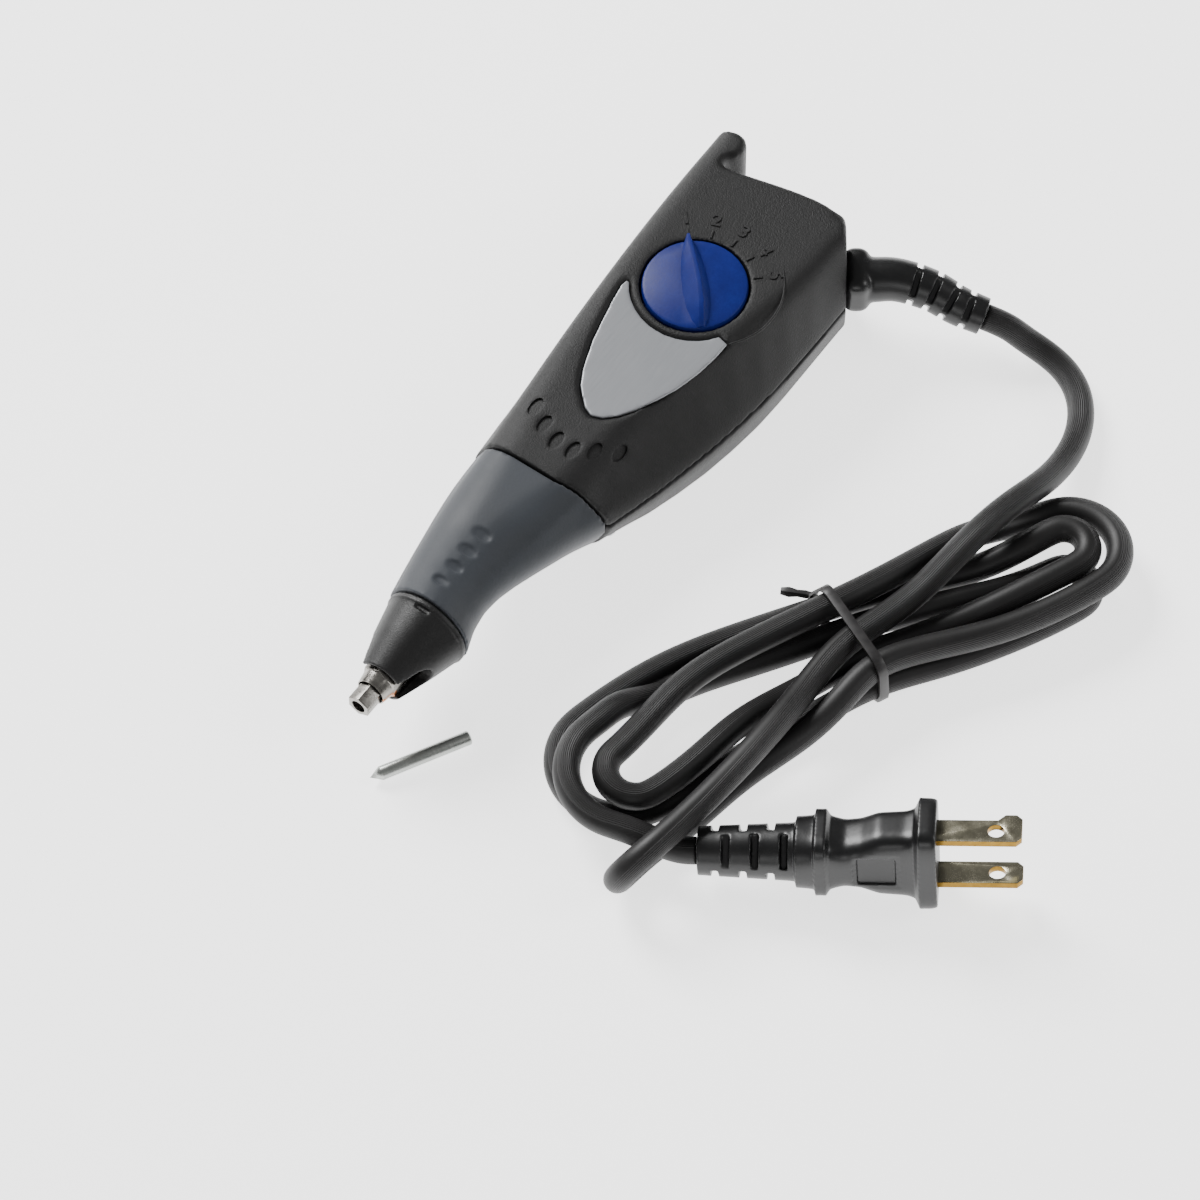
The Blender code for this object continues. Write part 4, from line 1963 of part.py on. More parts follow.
def plug():
    """The moulded plug and its slotted sleeve, one body, with two flat blades of its own."""
    frame = plug_frame()
    rings = []
    for along, width, thick, power in PLUG_SHARES:
        ring = []
        for i in range(PLUG_SIDES):
            angle = math.tau * i / PLUG_SIDES
            cos, sin = math.cos(angle), math.sin(angle)
            x = math.copysign(abs(cos) ** (2 / power), cos) * width / 2
            y = math.copysign(abs(sin) ** (2 / power), sin) * thick / 2
            ring.append((x * PLUG_LENGTH, y * PLUG_LENGTH, along * PLUG_LENGTH))
        rings.append(ring)
    body = loft("plug_body", rings, coat=BLACK_PLASTIC)
    body.matrix_world = frame
    radius = (PLUG_SHARES[0][1] + PLUG_SHARES[1][1]) * PLUG_LENGTH / 4
    for shares, axis in ((SLEEVE_NOTCH_SHARES, 0), (SLEEVE_SLOT_SHARES, 1)):
        for index, share in enumerate(shares):
            for side in (-1, 1):
                low = [-PLUG_SLOT_LENGTH / 2] * 2 + [share * PLUG_LENGTH - PLUG_SLOT / 2]
                high = [PLUG_SLOT_LENGTH / 2] * 2 + [share * PLUG_LENGTH + PLUG_SLOT / 2]
                ends = sorted((side * (radius - PLUG_SLOT_DEPTH), side * (radius + OVERRUN)))
                low[axis], high[axis] = ends
                slot = box(f"plug_slot_{axis}_{index}_{side}", low, high, helper=True)
                slot.matrix_world = frame
                subtract(body, slot)
    for label, side in (("line", -1), ("neutral", 1)):
        middle = side * BLADE_SPACING / 2
        half = BLADE_THICKNESS / 2
        wide = BLADE_WIDTH / 2 + GAP
        pocket = box(
            f"blade_pocket_{label}",
            (middle - half - GAP, -wide, PLUG_LENGTH - BLADE_ROOT - GAP),
            (middle + half + GAP, wide, PLUG_LENGTH + OVERRUN),
            helper=True,
        )
        pocket.matrix_world = frame
        subtract(body, pocket)
        flare = BLADE_FLARE if side > 0 else 0
        reach, half_wide = PLUG_LENGTH + BLADE_LENGTH, BLADE_WIDTH / 2
        chamfer = BLADE_CHAMFER
        flare_start = reach - 3 * BLADE_CHAMFER - flare
        outline = [
            (PLUG_LENGTH - BLADE_ROOT, -half_wide),
            (flare_start, -half_wide),
            (flare_start + flare, -half_wide - flare),
            (reach - chamfer, -half_wide - flare),
            (reach, -half_wide - flare + chamfer),
            (reach, half_wide - chamfer),
            (reach - chamfer, half_wide),
            (PLUG_LENGTH - BLADE_ROOT, half_wide),
        ]
        if not flare:
            del outline[1:3]
        blade = as_mesh(plate(f"plug_blade_{label}", outline, BLADE_THICKNESS, coat=NICKEL))
        turn = Matrix(((0, 0, -1, middle), (0, 1, 0, 0), (1, 0, 0, 0), (0, 0, 0, 1)))
        blade.matrix_world = frame @ turn
        hole = cylinder(
            f"blade_hole_{label}",
            BLADE_HOLE_RADIUS,
            middle - OVERRUN,
            middle + OVERRUN,
            (0, PLUG_LENGTH + BLADE_HOLE_PLACE),
            axis="X",
            sides=SIDES_BORE,
            helper=True,
        )
        hole.matrix_world = frame
        subtract(blade, hole)


def build():
    dial_axis = axis_empty("dial_axis", (0, 0, BODY_HEIGHT))
    armature_axis = axis_empty("armature_axis", (0, PIVOT_Y, PIVOT_HEIGHT))
    spindle_axis = axis_empty("spindle_axis", (0, 0, SPINDLE_HEIGHT))
    housing()
    housing_screws()
    grip()
    nose_cap()
    badge_plate()
    dial(dial_axis)
    dial_shaft(dial_axis)
    field_core()
    bobbin_and_winding()
    armature(armature_axis)
    return_spring()
    spindle(spindle_axis)
    front_bushing()
    rear_bushing()
    collet(spindle_axis)
    collet_nut(spindle_axis)
    engraving_point()
    strain_relief()
    cord_clamp()
    lead_wires()
    cords()
    twist_tie()
    plug()


build()
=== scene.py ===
import json
import math
import bpy
import bmesh
from mathutils import Matrix, Vector, kdtree


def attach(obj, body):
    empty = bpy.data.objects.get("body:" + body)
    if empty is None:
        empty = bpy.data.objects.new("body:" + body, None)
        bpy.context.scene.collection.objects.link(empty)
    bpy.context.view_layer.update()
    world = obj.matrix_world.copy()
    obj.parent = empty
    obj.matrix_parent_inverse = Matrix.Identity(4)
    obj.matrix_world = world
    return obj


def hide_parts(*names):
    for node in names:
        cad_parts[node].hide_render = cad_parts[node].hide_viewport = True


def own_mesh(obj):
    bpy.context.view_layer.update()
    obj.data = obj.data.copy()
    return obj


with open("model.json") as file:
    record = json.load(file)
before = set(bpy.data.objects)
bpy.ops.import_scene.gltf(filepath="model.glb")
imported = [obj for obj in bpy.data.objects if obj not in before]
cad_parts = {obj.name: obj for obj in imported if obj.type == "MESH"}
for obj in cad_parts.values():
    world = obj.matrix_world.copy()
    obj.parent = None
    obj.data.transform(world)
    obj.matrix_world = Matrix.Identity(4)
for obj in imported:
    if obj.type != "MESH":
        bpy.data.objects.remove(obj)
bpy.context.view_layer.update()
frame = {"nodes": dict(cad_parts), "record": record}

# The table the pen lies on: a plain pale sweep, lit by a large soft box from the upper left, weaker ones
# from the right and the front, and a pale room. The camera stands 2 m off with a long lens, 58 degrees
# above the table.
MM = 0.001
LOOK = Vector((-0.3116, 0.4287, -0.848)).normalized()
MIDDLE = Vector((25.1, -69.7, 15.0)) * MM
CAMERA_AWAY = 2.0
SENSOR_WIDTH = 36
LENS = 279
# Each soft box: its place from the middle and its width in metres, and its power in watts.
SOFT_BOXES = (
    ("key_box", (-1.5, 0.45, 1.25), 1.0, 62),
    ("side_box", (1.2, 0.9, 1.0), 0.8, 9),
    ("front_box", (0.9, -1.3, 0.8), 0.8, 5),
)
ROOM_LIGHT = 0.24
SWEEP_SIDE = 8
SWEEP_DROP = 0.3 * MM
SWEEP_GLOW = 2.0


def soft_box(name, place, width, power):
    """A round soft box that faces the pen."""
    light = bpy.data.lights.new(name, "AREA")
    light.shape = "DISK"
    light.size = width
    light.energy = power
    box = bpy.data.objects.new(name, light)
    bpy.context.scene.collection.objects.link(box)
    box.location = MIDDLE + Vector(place)
    box.rotation_euler = (-Vector(place)).to_track_quat("-Z", "Y").to_euler()


class Wire:
    """A socket of a finish's shader, so that its pattern can be written as sums."""

    def __init__(self, tree, socket):
        self.tree = tree
        self.socket = socket

    def maths(self, operation, other=None):
        made = self.tree.nodes.new("ShaderNodeMath")
        made.operation = operation
        for slot, value in enumerate((self, other)):
            if isinstance(value, Wire):
                self.tree.links.new(value.socket, made.inputs[slot])
            elif value is not None:
                made.inputs[slot].default_value = value
        return Wire(self.tree, made.outputs[0])

    def __add__(self, other):
        return self.maths("ADD", other)

    def __mul__(self, other):
        return self.maths("MULTIPLY", other)

    def __gt__(self, other):
        return self.maths("GREATER_THAN", other)

    def __lt__(self, other):
        return self.maths("LESS_THAN", other)

    __radd__ = __add__
    __rmul__ = __mul__


def tone(code):
    """A colour as a shader takes it, from its six-figure code."""
    shares = [int(code[i : i + 2], 16) / 255 for i in (0, 2, 4)]
    return tuple(s / 12.92 if s < 0.04045 else ((s + 0.055) / 1.055) ** 2.4 for s in shares)


class Finish:
    """The surface of one stuff the pen is made of."""

    def __init__(self, name, colour, roughness, metallic=0.0, **fixed):
        self.material = bpy.data.materials.new(name)
        self.material.use_nodes = True
        self.tree = self.material.node_tree
        self.shader = self.tree.nodes["Principled BSDF"]
        self.shader.inputs["Base Color"].default_value = (*tone(colour), 1)
        self.shader.inputs["Roughness"].default_value = roughness
        self.shader.inputs["Metallic"].default_value = metallic
        for key, value in fixed.items():
            self.shader.inputs[key.replace("_", " ")].default_value = value

    def node(self, kind, settings=(), sockets=(), out=0):
        """Adds a node with its settings, its sockets' values or links, and gives one of its outputs."""
        made = self.tree.nodes.new(kind)
        for key, value in dict(settings).items():
            if key == "stops":
                stops = made.color_ramp.elements
                while len(stops) < len(value):
                    stops.new(0.5)
                for stop, (place, colour) in zip(stops, value):
                    stop.position = place
                    stop.color = (*colour, 1)
            else:
                setattr(made, key, value)
        for key, value in dict(sockets).items():
            if isinstance(value, Wire):
                self.tree.links.new(value.socket, made.inputs[key])
            else:
                made.inputs[key].default_value = value
        return Wire(self.tree, made.outputs[out])

    def split(self, place):
        """The three parts of a place, each as a number."""
        first = self.node("ShaderNodeSeparateXYZ", {}, {0: place})
        return [Wire(self.tree, socket) for socket in first.socket.node.outputs]

    def noise(self, size, detail=2.0, roughness=0.5, stretch=(1, 1, 1), turn=(0, 0, 0)):
        """Cloudy grain on the piece. Its spots are about this wide in metres, and then stretched."""
        here = self.node("ShaderNodeTexCoord", out="Object")
        at = self.node(
            "ShaderNodeMapping",
            {"vector_type": "TEXTURE"},
            {"Vector": here, "Rotation": turn, "Scale": stretch},
        )
        return self.node(
            "ShaderNodeTexNoise",
            {},
            {"Vector": at, "Scale": 1 / size, "Detail": detail, "Roughness": roughness},
        )

    def ramp(self, factor, *codes):
        """These colours, run through from low to high."""
        stops = [(i / (len(codes) - 1), tone(code)) for i, code in enumerate(codes)]
        return self.node("ShaderNodeValToRGB", {"stops": stops}, {"Fac": factor})

    def shades(self, factor, *codes):
        self.feed("Base Color", self.ramp(factor, *codes))

    def feed(self, socket, wire):
        self.tree.links.new(wire.socket, self.shader.inputs[socket])

    def relief(self, height, depth, strength):
        sockets = {"Strength": strength, "Distance": depth, "Height": height}
        self.feed("Normal", self.node("ShaderNodeBump", {}, sockets))


camera_data = bpy.data.cameras.new("camera")
camera_data.sensor_width = SENSOR_WIDTH
camera_data.lens = LENS
camera = bpy.data.objects.new("camera", camera_data)
bpy.context.scene.collection.objects.link(camera)
camera.location = MIDDLE - LOOK * CAMERA_AWAY
camera.rotation_euler = LOOK.to_track_quat("-Z", "Y").to_euler()
bpy.context.scene.camera = camera
for soft_box_facts in SOFT_BOXES:
    soft_box(*soft_box_facts)
room = bpy.data.worlds.new("room")
room.use_nodes = True
room.node_tree.nodes["Background"].inputs["Color"].default_value = (1, 1, 1, 1)
room.node_tree.nodes["Background"].inputs["Strength"].default_value = ROOM_LIGHT
bpy.context.scene.world = room

bpy.ops.object.select_all(action="DESELECT")
bpy.ops.mesh.primitive_plane_add(size=SWEEP_SIDE, location=(0, 0, -SWEEP_DROP))
floor = bpy.context.object
floor.name = "table_sweep"
sweep = Finish("pale_sweep", "f6f6f6", 0.85, Emission_Color=(1, 1, 1, 1), Emission_Strength=SWEEP_GLOW)
sweep.shades(sweep.noise(0.9), "f3f3f3", "f9f9f9")
floor.data.materials.append(sweep.material)

# The mains cord: round black vinyl, 6 mm thick, with bands of fine ribs that wind slowly round it. It
# leaves the strain relief, drops to the table and is folded into a hank that ends in the plug.
CORD = 6.0 * MM
CORD_SIDES = 32
RIBS_ROUND = 44
BANDS_ROUND = 2
WINDS_PER_METRE = 1.7
RIB_DEPTH = 0.11 * MM
CURVE_STEPS = 6
EVENING_ROUNDS = 14
# The middle of the relief's end face, the way it looks, and where the cord comes out in front of it.
RELIEF_FACE = Vector((48.33, 41.80, 10.24)) * MM
RELIEF_WAY = Vector((0.919, 0.305, -0.25)).normalized()
CORD_GAP = 0.3 * MM
RELIEF_END = RELIEF_FACE + RELIEF_WAY * CORD_GAP
LEAD_ROUTE = (
    (57.0, 44.5, 6.2),
    (62.0, 45.6, 3.8),
    (67.6, 45.0, 3.1),
    (73.0, 42.4, 3.1),
    (77.4, 38.0, 3.2),
    (80.4, 32.4, 3.6),
    (82.2, 26.0, 5.0),
    (83.1, 19.0, 7.4),
)
# The hank's runs: places along it and across it in millimetres from its waist, and layers from the
# lowest.
OVER_RUN = (
    (54.5, -12.0, 1.20),
    (47.0, -9.6, 1.68),
    (38.0, -6.8, 1.98),
    (28.0, -3.9, 1.83),
    (18.0, -1.6, 1.35),
    (8.0, 0.0, 1.15),
    (0.0, 0.6, 1.00),
    (-8.0, 3.0, 1.15),
    (-17.0, 7.6, 1.41),
    (-26.0, 12.6, 1.86),
    (-36.0, 17.0, 2.00),
    (-48.0, 21.3, 2.00),
    (-60.0, 24.9, 2.00),
    (-66.5, 26.5, 1.98),
)
FOLD = (
    (-72.0, 27.0, 1.65),
    (-74.2, 26.0, 1.00),
    (-72.6, 24.2, 0.35),
    (-67.5, 21.8, 0.06),
)
BACK_RUN = (
    (-60.0, 19.8, 0.00),
    (-54.0, 19.2, 0.08),
    (-48.0, 18.4, 0.32),
    (-42.0, 17.6, 0.62),
    (-36.0, 17.0, 0.86),
    (-26.0, 16.0, 0.93),
    (-18.0, 14.4, 0.88),
    (-9.0, 12.0, 1.00),
    (0.0, 8.8, 1.00),
    (12.0, 10.4, 1.00),
    (26.0, 14.2, 1.00),
    (40.0, 15.8, 1.00),
)
OUTER_RUN = (
    (45.0, -9.3, 0.44),
    (39.0, -9.7, 0.77),
    (33.0, -9.9, 1.00),
    (22.0, -9.6, 1.00),
    (10.0, -9.0, 1.00),
    (0.0, -8.8, 1.00),
    (-14.0, -9.8, 1.00),
    (-30.0, -9.9, 1.00),
    (-40.0, -7.8, 1.00),
    (-48.0, -4.8, 1.00),
)
INNER_RUN = (
    (-44.0, 9.4, 1.00),
    (-33.0, 5.8, 0.92),
    (-22.0, 3.5, 0.41),
    (-12.0, 2.5, 0.05),
    (0.0, 2.1, 0.00),
    (14.0, 4.4, 0.14),
    (28.0, 7.6, 0.74),
    (40.0, 8.8, 1.00),
)
LOW_RUN = (
    (46.0, -1.9, 0.77),
    (40.0, -3.1, 0.38),
    (34.0, -4.7, 0.06),
    (26.0, -7.2, 0.00),
    (14.0, -10.3, 0.00),
    (0.0, -12.3, 0.00),
    (-14.0, -15.4, 0.00),
    (-28.0, -17.6, 0.00),
    (-42.0, -18.0, 0.00),
)
RETURN_RUN = (
    (-46.0, 11.4, 0.00),
    (-30.0, 10.0, 0.00),
    (-14.0, 9.4, 0.00),
    (0.0, 9.4, 0.00),
    (14.0, 12.0, 0.00),
    (28.0, 14.0, 0.00),
    (40.0, 14.8, 0.00),
)
LAST_RUN = (
    (40.0, 3.6, 0.00),
    (30.0, 1.0, 0.00),
    (18.0, -2.2, 0.00),
    (8.0, -4.2, 0.00),
    (0.0, -5.1, 0.00),
    (-15.0, -8.0, 0.00),
    (-30.0, -10.8, 0.00),
    (-36.0, -11.2, 0.03),
    (-42.0, -11.4, 0.18),
    (-47.0, -11.6, 0.50),
    (-52.0, -11.4, 0.90),
)
TAIL_START = (-63.6, 20.2, 1.0)
# The loops between the runs: the middle's place along and across, the radius, the first and last layer,
# the hank's end (1 towards the housing, -1 towards the plug) and the turn in degrees.
WIDE_LOOP = (52.0, 3.6, 12.0, 1.00, 0.29, 1, 180)
INNER_LOOP = (-57.0, 5.0, 6.6, 1.00, 1.00, -1, 180)
NARROW_LOOP = (51.5, 3.6, 5.3, 1.00, 0.89, 1, 180)
OUTER_LOOP = (-56.5, -2.0, 14.0, 0.00, 0.00, -1, 180)
LOW_LOOP = (48.8, 9.4, 5.3, 0.00, 0.00, 1, 180)
LAST_LOOP = (-57.5, 4.6, 14.4, 1.00, 1.00, -1, 140)
LOOP_PLACES = 8
WAIST = Vector((72.7, -42.9, 0)) * MM
WAIST_REACH = 18
WAIST_LIFT = 1.5 * MM
HANK_TURN = math.radians(23.5)
HANK_ALONG = Vector((math.sin(HANK_TURN), math.cos(HANK_TURN), 0))
HANK_ACROSS = Vector((math.cos(HANK_TURN), -math.sin(HANK_TURN), 0))
CORD_LIFT = 3.1 * MM
CORD_LAYER = 6.6 * MM
PLUG_BACK = Vector((76.7, -105.3, 9.3)) * MM
PLUG_WAY = Vector((0.8369, 0.5435, 0.0645))


def hank_place(along, across, layer):
    """A place in the hank. Its strands rise a little towards the waist, where the tie draws them up."""
    near = max(0, 1 - abs(along) / WAIST_REACH)
    lift = CORD_LIFT + layer * CORD_LAYER + WAIST_LIFT * near * near * (3 - 2 * near)
    return WAIST + (HANK_ALONG * along + HANK_ACROSS * across) * MM + Vector((0, 0, lift))


def hank_loop(along, across, radius, first, last, end, degrees):
    """Places round a loop at one end of the hank."""
    places = []
    for step in range(LOOP_PLACES):
        share = step / (LOOP_PLACES - 1)
        turn = math.radians(degrees) * share
        sideways = across + end * radius * math.cos(turn)
        places.append((along + end * radius * math.sin(turn), sideways, first + (last - first) * share))
    return places


def smooth_route(points, steps):
    """A centripetal curve through the points."""
    ends = [2 * points[0] - points[1], *points, 2 * points[-1] - points[-2]]
    route = []
    for a, b, c, d in zip(ends, ends[1:], ends[2:], ends[3:]):
        t1 = (b - a).length ** 0.5
        t2 = t1 + (c - b).length ** 0.5
        t3 = t2 + (d - c).length ** 0.5
        for step in range(steps):
            t = t1 + (t2 - t1) * step / steps
            ab = a * ((t1 - t) / t1) + b * (t / t1)
            bc = b * ((t2 - t) / (t2 - t1)) + c * ((t - t1) / (t2 - t1))
            cd = c * ((t3 - t) / (t3 - t2)) + d * ((t - t2) / (t3 - t2))
            abc = ab * ((t2 - t) / t2) + bc * (t / t2)
            bcd = bc * ((t3 - t) / (t3 - t1)) + cd * ((t - t1) / (t3 - t1))
            route.append(abc * ((t2 - t) / (t2 - t1)) + bcd * ((t - t1) / (t2 - t1)))
    return [*route, points[-1]]


def add_mesh(name, shape):
    """Turns a shape into a piece of its own, faces outwards."""
    bmesh.ops.recalc_face_normals(shape, faces=shape.faces)
    mesh = bpy.data.meshes.new(name)
    shape.to_mesh(mesh)
    shape.free()
    piece = bpy.data.objects.new(name, mesh)
    bpy.context.scene.collection.objects.link(piece)
    return piece


def tube(name, route, radius, sides, widths=None):
    """A round tube along a route. Its UV map runs round it, and along it in metres."""
    shape = bmesh.new()
    chart = shape.loops.layers.uv.new("UVMap")
    rings, runs, run = [], [], 0.0
    side = Vector((0, 0, 1))
    for i, point in enumerate(route):
        way = (route[min(i + 1, len(route) - 1)] - route[max(i - 1, 0)]).normalized()
        side = (side - way * side.dot(way)).normalized()
        up = way.cross(side)
        wide = radius * (widths[i] if widths else 1)
        ring = []
        for k in range(sides):
            turn = math.tau * k / sides
            ring.append(shape.verts.new(point + (side * math.cos(turn) + up * math.sin(turn)) * wide))
        run += (point - route[i - 1]).length if i else 0
        rings.append(ring)
        runs.append(run)
    for i, (one, two) in enumerate(zip(rings, rings[1:])):
        for k in range(sides):
            j = (k + 1) % sides
            face = shape.faces.new((one[k], two[k], two[j], one[j]))
            face.smooth = True
            places = ((k, runs[i]), (k, runs[i + 1]), (k + 1, runs[i + 1]), (k + 1, runs[i]))
            for corner, (u, v) in zip(face.loops, places):
                corner[chart].uv = (u / sides, v)
    shape.faces.new(rings[0])
    shape.faces.new(rings[-1][::-1])
    return add_mesh(name, shape)


vinyl = Finish("cord_vinyl", "151414", 0.5, Specular_IOR_Level=0.4)
round_share, along_metres, _ = vinyl.split(vinyl.node("ShaderNodeUVMap", {"uv_map": "UVMap"}))
winding = round_share + along_metres * WINDS_PER_METRE
ribs = (winding * (math.tau * RIBS_ROUND)).maths("SINE") * 0.5 + 0.5
bands = (winding * (math.tau * BANDS_ROUND)).maths("SINE") * 3 + 1.2
bands = bands.maths("MINIMUM", 1.0).maths("MAXIMUM", 0.0)
scuff = vinyl.noise(0.011, 4, 0.6)
fine = vinyl.noise(0.0005, 2)
vinyl.relief(ribs * bands + fine * 0.3, RIB_DEPTH, 0.75)
vinyl.shades(scuff * 0.7 + fine * 0.3, "0d0d0d", "141313", "1f1d1d")
vinyl.feed("Roughness", scuff * 0.24 + 0.38)

hank = [*OVER_RUN, *FOLD, *BACK_RUN, *hank_loop(*WIDE_LOOP), *OUTER_RUN, *hank_loop(*INNER_LOOP)]
hank += [*INNER_RUN, *hank_loop(*NARROW_LOOP), *LOW_RUN, *hank_loop(*OUTER_LOOP), *RETURN_RUN]
hank += [*hank_loop(*LOW_LOOP), *LAST_RUN, *hank_loop(*LAST_LOOP), TAIL_START]
cord_points = [RELIEF_END, RELIEF_FACE + RELIEF_WAY * CORD, *(Vector(place) * MM for place in LEAD_ROUTE)]
cord_points += [hank_place(*place) for place in hank]
cord_points += [PLUG_BACK - PLUG_WAY * CORD * 0.7, PLUG_BACK - PLUG_WAY * CORD_GAP]
cord_route = smooth_route(cord_points, CURVE_STEPS)
for _ in range(EVENING_ROUNDS):
    threes = zip(cord_route, cord_route[1:], cord_route[2:])
    cord_route[1:-1] = [here * 0.5 + (before + after) * 0.25 for before, here, after in threes]
cord = tube("mains_cord", cord_route, CORD / 2, CORD_SIDES)
cord.data.materials.append(vinyl.material)
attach(cord, "pen")
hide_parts("cord_lead", "cord_hank", "cord_tail")

# The two housing shells: black nylon with a fine eroded grain and rounded edges, moulded, and screwed
# together from below. The rear right corner is rounder than the others.
WELD = 0.002 * MM
SHELL_CELL = 0.48 * MM
ROUND_CORNER = Vector((15.72, 35.0)) * MM
ROUND_CORNER_REACH = 3.2 * MM
# In cells: how far round an edge the skin is held, and how far beyond that it comes free.
EDGE_HOLD = 1.2
EDGE_FADE = 2.5
# The rounds of smoothing all over, and those where the skin is free.
EVEN_ROUNDS = (("", 4), ("free", 60))


def pick(piece):
    """Makes a piece the only one selected and the active one."""
    bpy.ops.object.select_all(action="DESELECT")
    piece.select_set(True)
    bpy.context.view_layer.objects.active = piece


def dress(node, name, slot, finish, flat=0.0, soften=0.0, sharp=40, smooth=32, steps=2, skin=0.0):
    """A merged copy of a CAD node that takes its place: its faces made flat again, its edges bevelled by
    soften, or its whole surface moulded anew in cells of skin, smooth between the sharp edges."""
    bodies = frame["record"]["behaviour"]["bodies"]
    body = next(b for b in bodies if node in bodies[b])
    piece = bpy.data.objects.new(name, frame["nodes"][node].data.copy())
    bpy.context.scene.collection.objects.link(piece)
    pick(piece)
    bpy.ops.object.mode_set(mode="EDIT")
    bpy.ops.mesh.select_all(action="SELECT")
    bpy.ops.mesh.remove_doubles(threshold=WELD)
    if flat:
        bpy.ops.mesh.dissolve_limited(angle_limit=math.radians(flat))
    if soften:
        bpy.ops.mesh.select_mode(type="EDGE")
        bpy.ops.mesh.select_all(action="DESELECT")
        bpy.ops.mesh.edges_select_sharp(sharpness=math.radians(sharp))
        bpy.ops.mesh.bevel(offset=soften, segments=steps, affect="EDGES", clamp_overlap=True)
    bpy.ops.object.mode_set(mode="OBJECT")
    if skin:
        mould(piece, skin, sharp)
    bpy.ops.object.shade_smooth_by_angle(angle=math.radians(smooth))
    piece.data.materials.clear()
    piece.data.materials.append(finish.material)
    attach(piece, body)
    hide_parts(node)
    return piece


def mould(piece, cell, sharp):
    """Lays an even skin over a piece and smooths it everywhere but at its sharp edges."""
    shape = bmesh.new()
    shape.from_mesh(piece.data)
    marks = []
    for edge in shape.edges:
        if edge.calc_face_angle(0) > math.radians(sharp):
            count = max(1, math.ceil(edge.calc_length() / cell))
            one, two = (v.co for v in edge.verts)
            marks += [one.lerp(two, k / count) for k in range(count + 1)]
    marks = [mark for mark in marks if (mark.xy - ROUND_CORNER).length > ROUND_CORNER_REACH]
    shape.free()
    edges = kdtree.KDTree(len(marks))
    for i, mark in enumerate(marks):
        edges.insert(mark, i)
    edges.balance()
    skin = piece.modifiers.new("skin", "REMESH")
    skin.mode = "VOXEL"
    skin.voxel_size = cell
    bpy.ops.object.modifier_apply(modifier="skin")
    free = piece.vertex_groups.new(name="free")
    for vertex in piece.data.vertices:
        away = edges.find(vertex.co)[2] / cell
        free.add([vertex.index], min(max((away - EDGE_HOLD) / EDGE_FADE, 0.0), 1.0), "REPLACE")
    for group, rounds in EVEN_ROUNDS:
        even = piece.modifiers.new("even", "SMOOTH")
        even.factor = 0.5
        even.iterations = rounds
        even.vertex_group = group
        bpy.ops.object.modifier_apply(modifier="even")
    piece.vertex_groups.clear()


nylon = Finish("grained_nylon", "131313", 0.5, Specular_IOR_Level=0.35)
grain = nylon.noise(0.0003, 2, 0.6)
cloud = nylon.noise(0.018, 3, 0.55)
nylon.relief(grain, 0.00016, 0.8)
nylon.shades(grain * 0.45 + cloud * 0.55, "0b0b0b", "131313", "1e1d1e")
nylon.feed("Roughness", grain * 0.22 + cloud * 0.12 + 0.36)
shell_skin = {"sharp": 26, "smooth": 60, "skin": SHELL_CELL}
upper_shell = dress("housing_upper", "upper_shell", "black_plastic", nylon, **shell_skin)
dress("housing_lower", "lower_shell", "black_plastic", nylon, **shell_skin)

# Six oval pockets across the front of the upper shell, for the fingers: moulded in, 2.6 mm wide, 4.7 mm
# long and 0.6 mm deep, with flat floors that follow the shell.
POCKET_PLACES = ((-10.1, -45.0), (-5.9, -47.5), (-1.4, -49.3), (3.0, -49.3), (7.0, -46.7), (10.9, -42.8))
POCKET_SIZE = Vector((1.3, 2.35, 1.15)) * MM
# The shell's height and slope at a pocket are felt for on both sides of it, from above.
FEELER_REACH = 3.1
FEELER_HEIGHT = 50
DOWN = Vector((0, 0, -1))
pockets = []
for across, along in POCKET_PLACES:
    alongs = (along - FEELER_REACH, along + FEELER_REACH)
    starts = (Vector((across, y, FEELER_HEIGHT)) * MM for y in alongs)
    front, rear = (upper_shell.ray_cast(start, DOWN) for start in starts)
    place, out = (front[1] + rear[1]) / 2, (front[2] + rear[2]).normalized()
    side = Vector((0, 1, 0)).cross(out).normalized()
    turn = Matrix((side, out.cross(side), out)).transposed().to_euler()
    bpy.ops.object.select_all(action="DESELECT")
    bpy.ops.mesh.primitive_cylinder_add(vertices=40, radius=1, depth=1, location=place, rotation=turn)
    pocket = bpy.context.object
    pocket.scale = POCKET_SIZE
    pockets.append(pocket)
for pocket in pockets:
    pocket.select_set(True)
bpy.ops.object.join()
pockets = bpy.context.object


def cut_away(piece, cutter):
    """Takes a cutter's shape out of a piece, and the cutter away."""
    cut = piece.modifiers.new("cut", "BOOLEAN")
    cut.solver = "EXACT"
    cut.object = cutter
    pick(piece)
    bpy.ops.object.modifier_apply(modifier="cut")
    bpy.data.objects.remove(cutter)


cut_away(upper_shell, pockets)
bpy.ops.object.shade_smooth_by_angle(angle=math.radians(40))

# The stroke scale on the upper shell: figures 1 to 5 round the dial, each with a short tick, moulded proud
# of the top face in one piece with it, and a thin raised line that curls round them from the plate's horn.
TOP = 30.5 * MM
FIGURES = 5
FIRST_TURN = 132
FIGURE_TURN = 22
FIGURE_RADIUS = 17.6 * MM
FIGURE_HEIGHT = 4.3 * MM
FIGURE_BOLD = 0.07 * MM
FIGURE_RISE = 0.2 * MM
FIGURE_EDGE = 0.05 * MM
FIGURE_WELD = 0.001 * MM
TICK_RADIUS = 13.9 * MM
TICK_SIZE = Vector((2.1, 0.5, 0.5)) * MM
TICK_EDGE = 0.12 * MM
LINE_HEIGHT = 30.45
LINE_RADIUS = 0.24 * MM
LINE_PLACES = (
    (15.0, -8.2),
    (17.0, -5.0),
    (18.4, -1.0),
    (18.6, 3.4),
    (17.6, 8.0),
    (15.4, 12.0),
    (13.4, 14.4),
)


